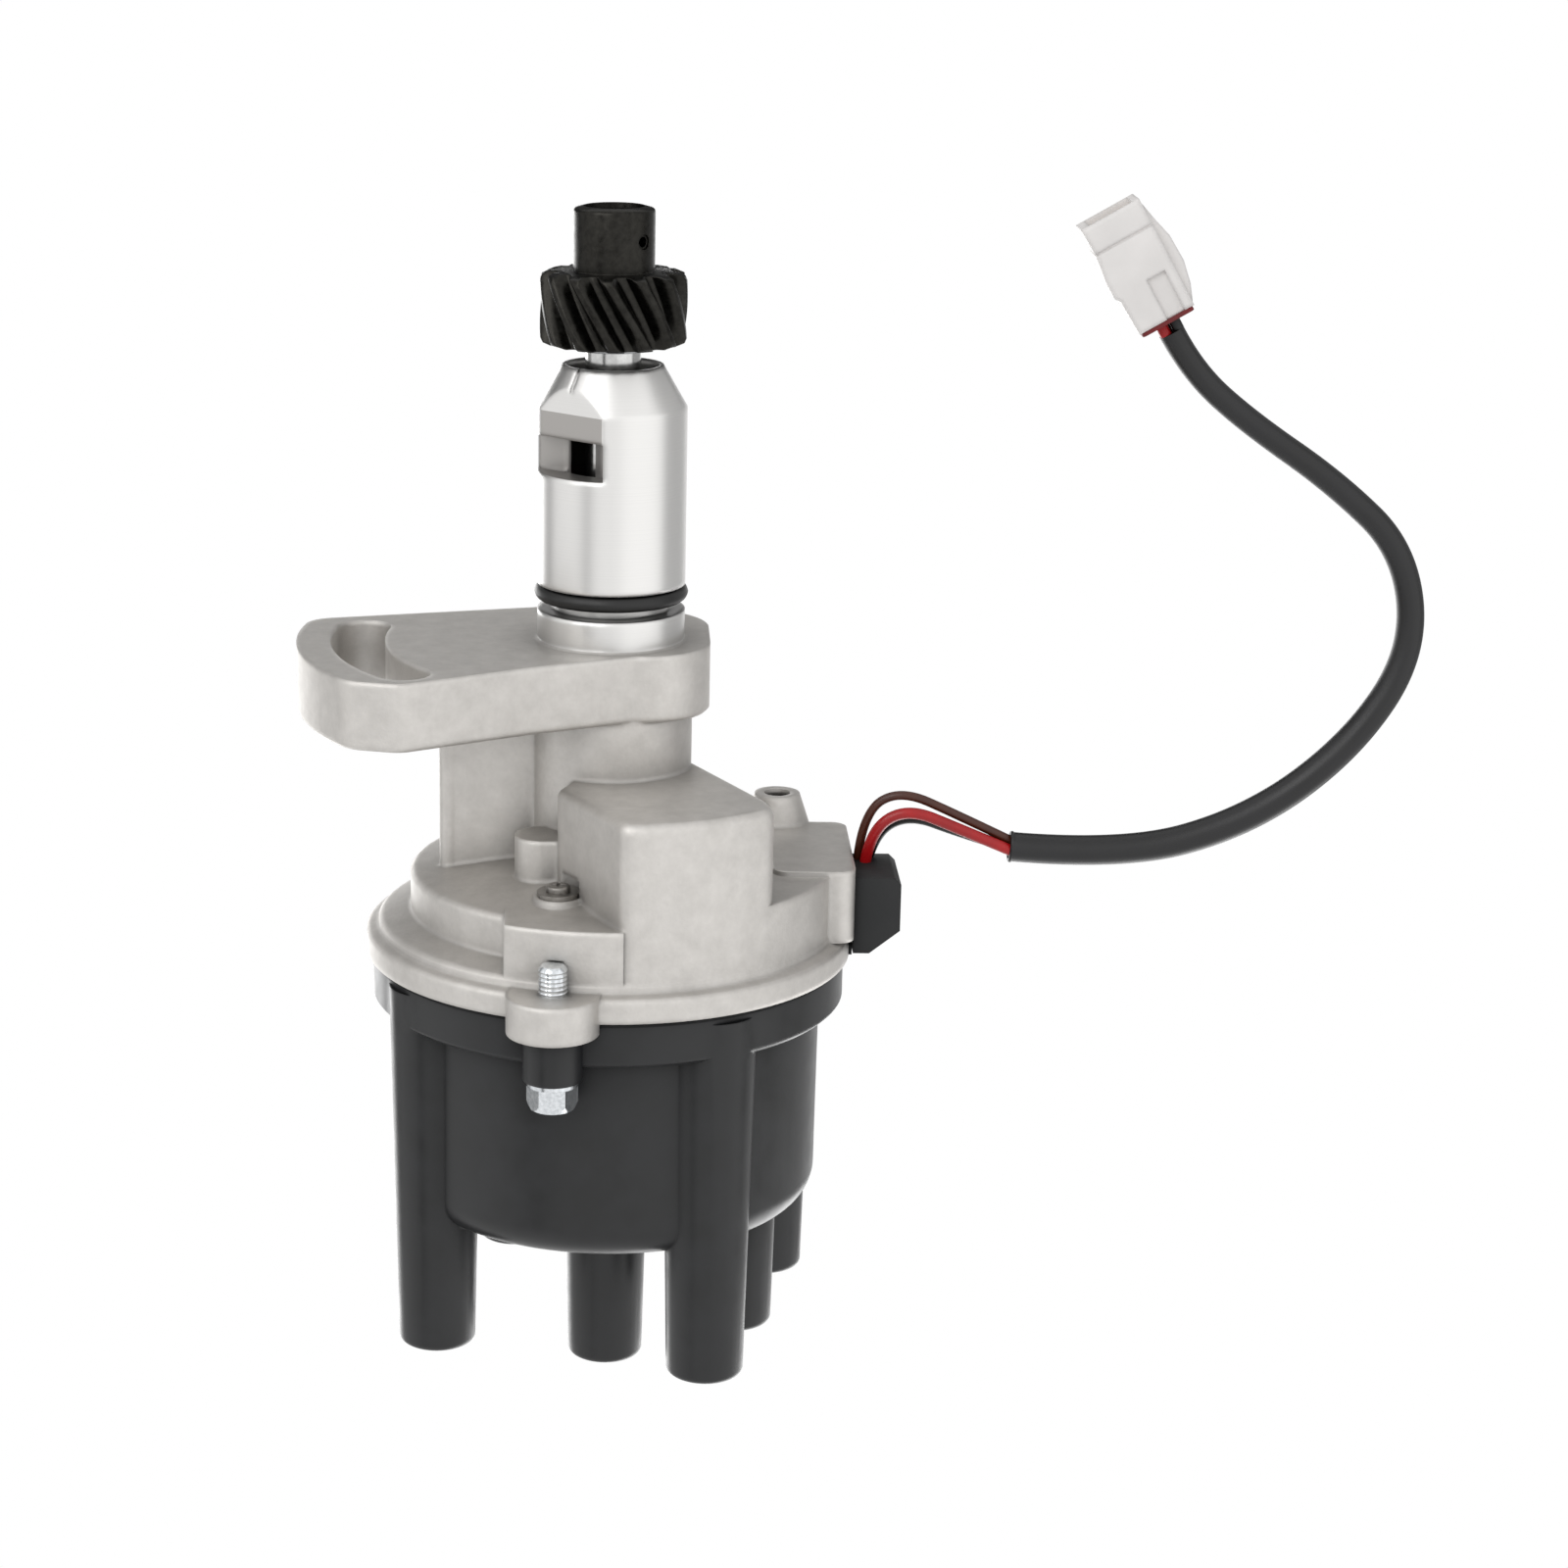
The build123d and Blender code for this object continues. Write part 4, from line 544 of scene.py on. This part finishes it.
work_on(camera)
bpy.ops.mesh.primitive_torus_add(
    major_radius=RING_MIDDLE_R * MM, minor_radius=RING_CORD_R * MM,
    major_segments=128, minor_segments=24, location=(0, 0, RING_HEIGHT * MM),
)
o_ring = bpy.context.object
bpy.ops.object.mode_set(mode="EDIT")
pick(o_ring, "VERT", lambda point: point.xy.length > RING_MIDDLE_R + RING_CORD_R - 0.01)
bpy.ops.transform.resize(
    value=(FLASH_GROWTH, FLASH_GROWTH, 1.0), center_override=(0, 0, RING_HEIGHT * MM)
)
bpy.ops.object.mode_set(mode="OBJECT")
settle(o_ring, "rubber_o_ring", "body", smooth=60)
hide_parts("shank_o_ring")

# %% [markdown]
# ## The cap
#
# The real cap is one thermoset moulding: bowl, ribs and lead towers came out of the mould
# together. The CAD model keeps the towers as solids of their own, so both are copied, merged
# and united into one skin, and the towers then run into the ribs with no seam.

# %% Cap and towers
cap = merged_copy("distributor_cap", "moulded_cap")
towers = merged_copy("lead_towers", "cap_towers")
apply(cap, "BOOLEAN", operation="UNION", object=towers, solver="EXACT")
bpy.data.objects.remove(towers)
settle(cap, "moulded_cap", "body", smooth=28)
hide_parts("distributor_cap", "lead_towers")

# %% [markdown]
# ## Grommet and plug shell
#
# Rubber and nylon come out of their moulds with rounded corners, which show in the outline at
# this size. Both pieces are merged copies of their solids with a Bevel modifier, wide on the
# soft rubber block and narrow on the nylon shell.

# %% Grommet
CORNER_ANGLE = math.radians(25)

grommet = merged_copy("wire_grommet", "grommet_block")
apply(
    grommet, "BEVEL", width=1.1 * MM, segments=4,
    limit_method="ANGLE", angle_limit=CORNER_ANGLE,
)
settle(grommet, "moulded_grommet", "body", smooth=50)
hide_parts("wire_grommet")

# %% [markdown]
# The plug's shell was injected into steel, which gives tight, even corners of half a
# millimetre. Three steps in the bevel are enough for them to look round in this picture.

# %% Plug shell
plug = merged_copy("connector_shell", "plug_shell")
apply(plug, "BEVEL", width=0.5 * MM, segments=3, limit_method="ANGLE", angle_limit=CORNER_ANGLE)
settle(plug, "nylon_plug_shell", "body", smooth=40)
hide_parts("connector_shell")

# %% [markdown]
# ## Screw threads
#
# The two cap screws pass through the housing's ears and show a few turns of thread. A rolled
# thread this fine reads as rings, so one stud is built up by extruding a disc in half pitches
# and making every second ring wider. It starts with the narrow chamfered tip. The second stud
# is a copy with its own mesh, on the opposite side of the shaft.

# %% Threads of the cap screws
SCREW_ANGLE = math.radians(-77.5)
SCREW_PITCH_R = 44.6
THREAD_PITCH = 0.8
THREAD_END = 48.6
THREAD_TURNS = 6
TIP_R = 2.0
TIP_HEIGHT = 0.45
TIP_TO_ROOT = 1.22
ROOT_TO_CREST = 1.075

where = Vector(
    (SCREW_PITCH_R * math.cos(SCREW_ANGLE), SCREW_PITCH_R * math.sin(SCREW_ANGLE), THREAD_END)
)
work_on(camera)
bpy.ops.mesh.primitive_circle_add(
    vertices=32, radius=TIP_R * MM, fill_type="NGON", location=where * MM
)
thread = bpy.context.object
bpy.ops.object.mode_set(mode="EDIT")
bpy.ops.mesh.select_all(action="SELECT")
bpy.ops.mesh.extrude_region_move(TRANSFORM_OT_translate={"value": (0, 0, TIP_HEIGHT * MM)})
bpy.ops.transform.resize(value=(TIP_TO_ROOT, TIP_TO_ROOT, 1.0), center_override=where * MM)
half_pitch = THREAD_PITCH / 2 * MM
for _ in range(THREAD_TURNS):
    for grow in (ROOT_TO_CREST, 1 / ROOT_TO_CREST):
        bpy.ops.mesh.extrude_region_move(TRANSFORM_OT_translate={"value": (0, 0, half_pitch)})
        bpy.ops.transform.resize(value=(grow, grow, 1.0), center_override=where * MM)
bpy.ops.object.mode_set(mode="OBJECT")

# %% The second screw's thread
second_thread = thread.copy()
second_thread.data = thread.data.copy()
second_thread.location = Vector((-where.x, -where.y, where.z)) * MM
bpy.context.scene.collection.objects.link(second_thread)
settle(thread, "front_screw_thread", "body", smooth=20)
settle(second_thread, "rear_screw_thread", "body", smooth=20)

# %% [markdown]
# ## The sleeve's mouth
#
# The vinyl sleeve is cut off square where the wires leave it, and the cut rim shows as a thin
# ring. A small torus, pressed a little out of round and set square to the sleeve, is that rim.

# %% Sleeve mouth
RIM_R = 2.45
RIM_WALL_R = 0.42
RIM_INWARDS = 0.15

mouth_way = (Vector(SLEEVE_ROUTE[1]) - Vector(SLEEVE_ROUTE[0])).normalized()
work_on(camera)
bpy.ops.mesh.primitive_torus_add(
    major_radius=RIM_R * MM, minor_radius=RIM_WALL_R * MM, major_segments=48, minor_segments=12,
    location=(Vector(SLEEVE_ROUTE[0]) + mouth_way * RIM_INWARDS) * MM,
    rotation=mouth_way.to_track_quat("Z", "Y").to_euler(),
)
mouth = bpy.context.object
bpy.ops.object.mode_set(mode="EDIT")
bpy.ops.mesh.select_all(action="SELECT")
bpy.ops.transform.resize(value=(1.0, 0.94, 1.04), center_override=Vector(SLEEVE_ROUTE[0]) * MM)
bpy.ops.object.mode_set(mode="OBJECT")
settle(mouth, "sleeve_mouth", "body", smooth=60)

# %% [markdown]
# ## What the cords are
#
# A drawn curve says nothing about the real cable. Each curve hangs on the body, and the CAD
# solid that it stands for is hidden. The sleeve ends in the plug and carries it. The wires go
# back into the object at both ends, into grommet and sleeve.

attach(sleeve, "body")
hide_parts("lead_sleeve")
for wire, node, route, long, across in (
    (brown, "brown_wire", BROWN_ROUTE, 0.0395, 0.0017),
    (red, "red_wire", RED_ROUTE, 0.0350, 0.0021),
    (black, "black_wire", BLACK_ROUTE, 0.0325, 0.0021),
):
    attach(wire, "body")
    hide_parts(node)
print("declared cords", 4)

# %% [markdown]
# ## Cast and turned aluminium
#
# The housing is one aluminium casting with three skins. The body and arm keep the matt,
# slightly blotched skin that the mould left. The shank below the seat face was turned on a
# lathe: it is bright, with fine rings round it. The flat and the window in the shank were
# milled and are greyer. All three lie on one solid, so the finish tells them apart by place:
# by the height on the object, and by how far in from the shank's turned surface a point is.
# The seal's groove and the shank's nose are turned too, so the milled skin ends before them.

# %% Where each skin lies
SEAT_Z = -0.4
GROOVE_END_Z = -12.0
NOSE_START_Z = -42.6
TURNED_R = 13.3

aluminium, tree, shader = new_finish("cast_and_turned_aluminium", "#C4C1BC", 0.5, 1.0)
place = add_node(tree, "ShaderNodeTexCoord").outputs["Object"]
height = add_node(tree, "ShaderNodeSeparateXYZ", links={"Vector": place}).outputs["Z"]
level = add_node(
    tree, "ShaderNodeMapping", {"Scale": (1, 1, 0)}, {"Vector": place}
).outputs["Vector"]
reach = add_node(
    tree, "ShaderNodeVectorMath", links={0: level}, operation="LENGTH"
).outputs["Value"]
turned = add_node(
    tree, "ShaderNodeMath", {1: SEAT_Z * MM}, {0: height}, operation="LESS_THAN"
).outputs[0]
milled = add_node(
    tree, "ShaderNodeMath", {1: TURNED_R * MM}, {0: reach}, operation="LESS_THAN"
).outputs[0]
for limit, side in ((GROOVE_END_Z, "LESS_THAN"), (NOSE_START_Z, "GREATER_THAN")):
    within = add_node(
        tree, "ShaderNodeMath", {1: limit * MM}, {0: height}, operation=side
    ).outputs[0]
    milled = add_node(
        tree, "ShaderNodeMath", links={0: milled, 1: within}, operation="MULTIPLY"
    ).outputs[0]
print("skins meet at", SEAT_Z, "mm")

# %% [markdown]
# Noise at two sizes makes the cast skin: blotches of some 4 mm from the way the metal froze,
# and a grain of under 1 mm from the mould's coating, which also dulls and bumps it. A lathe
# leaves the same mark all the way round, so the noise for the shank reads only the height.
# Ambient occlusion darkens inner corners a little, which paints shade into the tone there.

# %% Patterns of the three skins
BLOTCH_SIZE = 4.0
GRAIN_SIZE = 0.8
LATHE_MARK = 0.25

blotches = add_node(
    tree, "ShaderNodeTexNoise",
    {"Scale": 1 / (BLOTCH_SIZE * MM), "Detail": 5.0, "Roughness": 0.65}, {"Vector": place},
).outputs["Fac"]
blotch_share = add_node(
    tree, "ShaderNodeMapRange", {"From Min": 0.3, "From Max": 0.7}, {"Value": blotches}
)
skin = add_node(
    tree, "ShaderNodeTexNoise", {"Scale": 1 / (GRAIN_SIZE * MM), "Detail": 2.0},
    {"Vector": place},
).outputs["Fac"]
along = add_node(
    tree, "ShaderNodeMath", {1: 1 / (LATHE_MARK * MM)}, {0: height}, operation="MULTIPLY"
).outputs[0]
rings = add_node(
    tree, "ShaderNodeTexNoise", {"Scale": 1.0, "Detail": 2.0}, {"W": along},
    noise_dimensions="1D",
).outputs["Fac"]
print("patterns of", BLOTCH_SIZE, GRAIN_SIZE, "and", LATHE_MARK, "mm")

# %% Tones of the three skins
SHADOW_REACH = 9

cast_tone = add_node(
    tree, "ShaderNodeMix", {6: linear("#C5C2BE"), 7: linear("#D2CFCB")},
    {0: blotch_share.outputs["Result"]}, data_type="RGBA",
).outputs[2]
turned_tone = add_node(
    tree, "ShaderNodeMix", {6: linear("#DDDCDA"), 7: linear("#E4E3E1")}, {0: rings},
    data_type="RGBA",
).outputs[2]
tone = add_node(
    tree, "ShaderNodeMix", links={0: turned, 6: cast_tone, 7: turned_tone}, data_type="RGBA"
).outputs[2]
tone = add_node(
    tree, "ShaderNodeMix", {7: linear("#AFACA9")}, {0: milled, 6: tone}, data_type="RGBA"
).outputs[2]
# Painted shade: ambient occlusion darkens the metal's tone in inner corners
open_air = add_node(
    tree, "ShaderNodeAmbientOcclusion", {"Distance": SHADOW_REACH * MM}, samples=6
).outputs["AO"]
corners = add_node(
    tree, "ShaderNodeMapRange", {"From Min": 0.3, "From Max": 0.95, "To Min": 0.56},
    {"Value": open_air},
).outputs["Result"]
tone = add_node(
    tree, "ShaderNodeMix", {0: 1.0}, {6: tone, 7: corners}, data_type="RGBA", blend_type="MULTIPLY"
).outputs[2]
tree.links.new(tone, shader.inputs["Base Color"])
print("aluminium tones", len(tree.nodes), "nodes")

# %% [markdown]
# Gloss follows the same map: the cast skin is dull and uneven, the turned shank mirrors softly,
# and the milled faces lie between. Only the cast skin has a grain that can be felt. The Bevel
# node rounds every corner of the casting to the radius that its mould had, in shading alone,
# because a real bevel on so large a solid would cost many thousands of faces.

# %% Gloss and grain of the three skins
CAST_CORNER = 1.5

cast_dull = add_node(tree, "ShaderNodeMix", {2: 0.48, 3: 0.62}, {0: skin}).outputs[0]
turned_dull = add_node(tree, "ShaderNodeMix", {2: 0.31, 3: 0.39}, {0: rings}).outputs[0]
dullness = add_node(
    tree, "ShaderNodeMix", links={0: turned, 2: cast_dull, 3: turned_dull}
).outputs[0]
dullness = add_node(tree, "ShaderNodeMix", {3: 0.46}, {0: milled, 2: dullness}).outputs[0]
tree.links.new(dullness, shader.inputs["Roughness"])
soft_edge = add_node(
    tree, "ShaderNodeBevel", {"Radius": CAST_CORNER * MM}, samples=8
).outputs["Normal"]
grain_height = add_node(tree, "ShaderNodeMix", {3: 0.5}, {0: turned, 2: skin}).outputs[0]
bump = add_node(
    tree, "ShaderNodeBump", {"Strength": 0.3, "Distance": 0.15 * MM},
    {"Height": grain_height, "Normal": soft_edge},
)
tree.links.new(bump.outputs["Normal"], shader.inputs["Normal"])
print("aluminium finish", len(tree.nodes), "nodes")

# %% [markdown]
# ## The other metals
#
# Steel, zinc plate, bronze and brass differ in colour, in gloss and in the size of the marks
# that their making left. One function builds all of them from those few values: noise at the
# size of the marks moves the colour between two near tones, and the gloss with it.


# %% Worked metals
def worked_metal(name, dark, light, roughness, mark_mm, edge_mm=0.25):
    """A metal with marks of a real size, two near tones and slightly rounded corners."""
    made, tree, shader = new_finish(name, light, roughness, 1.0)
    place = add_node(tree, "ShaderNodeTexCoord").outputs["Object"]
    marks = add_node(
        tree, "ShaderNodeTexNoise",
        {"Scale": 1 / (mark_mm * MM), "Detail": 3.0, "Roughness": 0.6}, {"Vector": place},
    ).outputs["Fac"]
    share = add_node(
        tree, "ShaderNodeMapRange", {"From Min": 0.3, "From Max": 0.7}, {"Value": marks}
    ).outputs["Result"]
    tone = add_node(
        tree, "ShaderNodeMix", {6: linear(dark), 7: linear(light)}, {0: share}, data_type="RGBA"
    ).outputs[2]
    gloss = add_node(
        tree, "ShaderNodeMix", {2: roughness * 0.8, 3: roughness * 1.25}, {0: share}
    ).outputs[0]
    soft = add_node(tree, "ShaderNodeBevel", {"Radius": edge_mm * MM}, samples=4).outputs["Normal"]
    bump = add_node(
        tree, "ShaderNodeBump", {"Strength": 0.1, "Distance": 0.05 * MM},
        {"Height": marks, "Normal": soft},
    )
    tree.links.new(tone, shader.inputs["Base Color"])
    tree.links.new(gloss, shader.inputs["Roughness"])
    tree.links.new(bump.outputs["Normal"], shader.inputs["Normal"])
    return made


# Ground shaft steel: the smoothest metal here, which mirrors what stands round it
ground_steel = worked_metal("ground_steel", "#B9B9B8", "#D2D2D0", 0.18, 1.2)
# Black oxide on hobbed steel, wet with oil: near black, with soft grey lights on its corners
oiled_steel = worked_metal("black_oxide_steel", "#272624", "#343330", 0.3, 1.2, 0.3)
# Cold-rolled sheet steel: a middle grey with a faint rolled grain
plain_steel = worked_metal("cold_rolled_steel", "#8E8F90", "#ABACAD", 0.35, 0.8)
# Bright zinc plate: bluish and clean, so the screws sparkle beside the matt casting
zinc = worked_metal("bright_zinc_plate", "#C6CACD", "#E6E9EC", 0.2, 0.7)
# Zinc plate that hands and weather have dulled: the ground screw is grey and no longer shines
dull_zinc = worked_metal("dulled_zinc_plate", "#7E7B77", "#9A9793", 0.42, 0.9)
# Sintered bronze: pores full of oil make the bushes brown and only half bright
bronze = worked_metal("sintered_bronze", "#7D5A2E", "#A57C45", 0.45, 0.3)
# Turned brass: yellow and bright, as on contacts that carry the spark
brass = worked_metal("turned_brass", "#B58A3C", "#D8B062", 0.25, 0.6)
print("materials so far", len(bpy.data.materials))

# %% [markdown]
# ## Plastics and rubbers
#
# Moulded pieces show a faint cloud of tone where the melt flowed and the fine skin of their
# mould. The cloud is about twelve times the size of the skin's grain. The cap's resin is hard
# and half glossy, vinyl is softer, and rubber is matt. Ambient occlusion takes some of the
# reflection away in inner corners, which paints shade there.


# %% Moulded plastics
CLOUD_TO_GRAIN = 12
PAINTED_SHADE_REACH = 12


def moulded(name, dark, light, roughness, grain_mm, strength=0.08, edge_mm=0.4):
    """A plastic or rubber with a cloud of tone, a fine skin and rounded corners."""
    made, tree, shader = new_finish(name, light, roughness)
    place = add_node(tree, "ShaderNodeTexCoord").outputs["Object"]
    cloud = add_node(
        tree, "ShaderNodeTexNoise",
        {"Scale": 1 / (CLOUD_TO_GRAIN * grain_mm * MM), "Detail": 3.0}, {"Vector": place},
    ).outputs["Fac"]
    fine = add_node(
        tree, "ShaderNodeTexNoise", {"Scale": 1 / (grain_mm * MM), "Detail": 2.0},
        {"Vector": place},
    ).outputs["Fac"]
    share = add_node(
        tree, "ShaderNodeMapRange", {"From Min": 0.3, "From Max": 0.7}, {"Value": cloud}
    ).outputs["Result"]
    tone = add_node(
        tree, "ShaderNodeMix", {6: linear(dark), 7: linear(light)}, {0: share}, data_type="RGBA"
    ).outputs[2]
    gloss = add_node(
        tree, "ShaderNodeMix", {2: roughness * 0.88, 3: roughness * 1.12}, {0: share}
    ).outputs[0]
    soft = add_node(tree, "ShaderNodeBevel", {"Radius": edge_mm * MM}, samples=4).outputs["Normal"]
    bump = add_node(
        tree, "ShaderNodeBump", {"Strength": strength, "Distance": 0.1 * MM},
        {"Height": fine, "Normal": soft},
    )
    # Painted shade: ambient occlusion lowers the specular level in inner corners, which darkens
    # them
    open_air = add_node(
        tree, "ShaderNodeAmbientOcclusion", {"Distance": PAINTED_SHADE_REACH * MM}, samples=6
    ).outputs["AO"]
    painted_corner_shade = add_node(
        tree, "ShaderNodeMapRange",
        {"From Min": 0.35, "From Max": 0.95, "To Min": 0.1, "To Max": 0.5}, {"Value": open_air},
    )
    tree.links.new(tone, shader.inputs["Base Color"])
    tree.links.new(gloss, shader.inputs["Roughness"])
    tree.links.new(painted_corner_shade.outputs["Result"], shader.inputs["Specular IOR Level"])
    tree.links.new(bump.outputs["Normal"], shader.inputs["Normal"])
    return made


# Phenolic resin, moulded against polished steel: hard, black and half glossy
cap_resin = moulded("black_phenolic_resin", "#101112", "#1A1B1D", 0.36, 0.5, 0.06, 0.7)
# The rotor's resin is filled with a red-brown pigment and a little duller
rotor_resin = moulded("brown_phenolic_resin", "#4A160F", "#5E1F15", 0.4, 0.5)
# Epoxy that seals the ignition module: a dark blue-grey with a satin face
module_resin = moulded("module_epoxy", "#1A1C22", "#23262E", 0.5, 0.6)
# Nitrile rubber, moulded and oiled: black with one soft light along its ring
nitrile = moulded("nitrile_rubber", "#0D0D0D", "#141414", 0.42, 0.4, 0.1, 0.2)
# The grommet's rubber is dry and matt, with a coarser skin
grommet_rubber = moulded("grommet_rubber", "#1B1C1D", "#262728", 0.72, 0.5, 0.25, 0.6)
# Soft vinyl sleeve: satin black, with a grain drawn coarser than it is so that it shows
vinyl = moulded("black_vinyl", "#0F0F10", "#18181A", 0.42, 0.9, 0.12, 0.2)
# Wire insulation: thin glossy vinyl in the colours of the three circuits
brown_vinyl = moulded("brown_wire_vinyl", "#3C1B10", "#4F2617", 0.35, 0.5, 0.05, 0.1)
red_vinyl = moulded("red_wire_vinyl", "#9E0F14", "#B8161B", 0.33, 0.5, 0.05, 0.1)
black_vinyl = moulded("black_wire_vinyl", "#0C0C0D", "#141415", 0.35, 0.5, 0.05, 0.1)
# Natural nylon, moulded without pigment: a milky white with soft edges
nylon = moulded("natural_nylon", "#E3E0DE", "#ECE9E7", 0.5, 0.6, 0.05, 0.8)
# Silicone wire seal: a deep red rubber that shows as a thin line under the plug's shell
silicone = moulded("red_silicone", "#5A0D10", "#741316", 0.5, 0.4, 0.05, 0.2)
# Pressed fibre gasket: quite matt and almost black with oil
gasket_fibre = moulded("gasket_fibre", "#0E0E0F", "#19191A", 0.85, 0.4, 0.2, 0.1)
# Pressed carbon: a soft dark grey that never shines
carbon = moulded("brush_carbon", "#1C1C1E", "#28282A", 0.6, 0.3, 0.1, 0.2)
# Varnished tape on the pickup's coil: amber brown and glossy
coil_tape = moulded("varnished_tape", "#6B3A16", "#8A5022", 0.3, 0.6, 0.1, 0.2)
print("materials in all", len(bpy.data.materials))

# %% [markdown]
# ## Who wears what
#
# The lists name every solid that comes from the CAD model, also the ones inside, because the
# parts can be pulled out and looked at one by one. The modelled pieces follow below them.

# %% Give every CAD node its finish
finishes = {
    aluminium: ["housing"],
    nitrile: ["shank_o_ring", "shaft_seal"],
    bronze: ["lower_bushing", "upper_bushing"],
    module_resin: ["ignition_module"],
    zinc: [
        "module_screws", "base_plate_screws", "pickup_screws", "cap_screws",
        "cap_screw_washers", "sleeve_retaining_screw",
    ],
    dull_zinc: ["ground_screw", "ground_screw_washer"],
    plain_steel: [
        "pickup_base_plate", "governor_plate", "end_play_washer", "gear_washer",
        "governor_weight_a", "governor_weight_b", "sleeve_retaining_washer", "cam_sleeve",
        "reluctor", "pickup_core",
    ],
    coil_tape: ["pickup_coil"],
    gasket_fibre: ["cap_gasket"],
    cap_resin: ["distributor_cap", "lead_towers"],
    brass: ["outer_terminals", "centre_terminal", "rotor_electrode", "connector_pins"],
    carbon: ["carbon_button"],
    ground_steel: [
        "drive_shaft", "weight_pivots", "governor_springs", "button_spring", "rotor_set_screw",
    ],
    oiled_steel: ["drive_gear", "gear_roll_pin", "boss_plug"],
    grommet_rubber: ["wire_grommet"],
    rotor_resin: ["rotor_arm"],
    brown_vinyl: ["brown_wire_tail"],
    red_vinyl: ["red_wire_tail"],
    black_vinyl: ["black_wire_tail"],
    nylon: ["connector_shell"],
    silicone: ["connector_seal"],
}
for finish, names in finishes.items():
    for name in names:
        mesh = cad[name].data
        mesh.materials.clear()
        mesh.materials.append(finish)
print("finished nodes", sum(len(names) for names in finishes.values()))

# %% Give every modelled piece its finish
for piece, finish in (
    (sleeve, vinyl), (mouth, vinyl), (brown, brown_vinyl), (red, red_vinyl),
    (black, black_vinyl), (gear, oiled_steel), (o_ring, nitrile), (cap, cap_resin),
    (grommet, grommet_rubber), (plug, nylon), (thread, zinc), (second_thread, zinc),
):
    piece.data.materials.clear()
    piece.data.materials.append(finish)
    print(piece.name, "wears", finish.name)
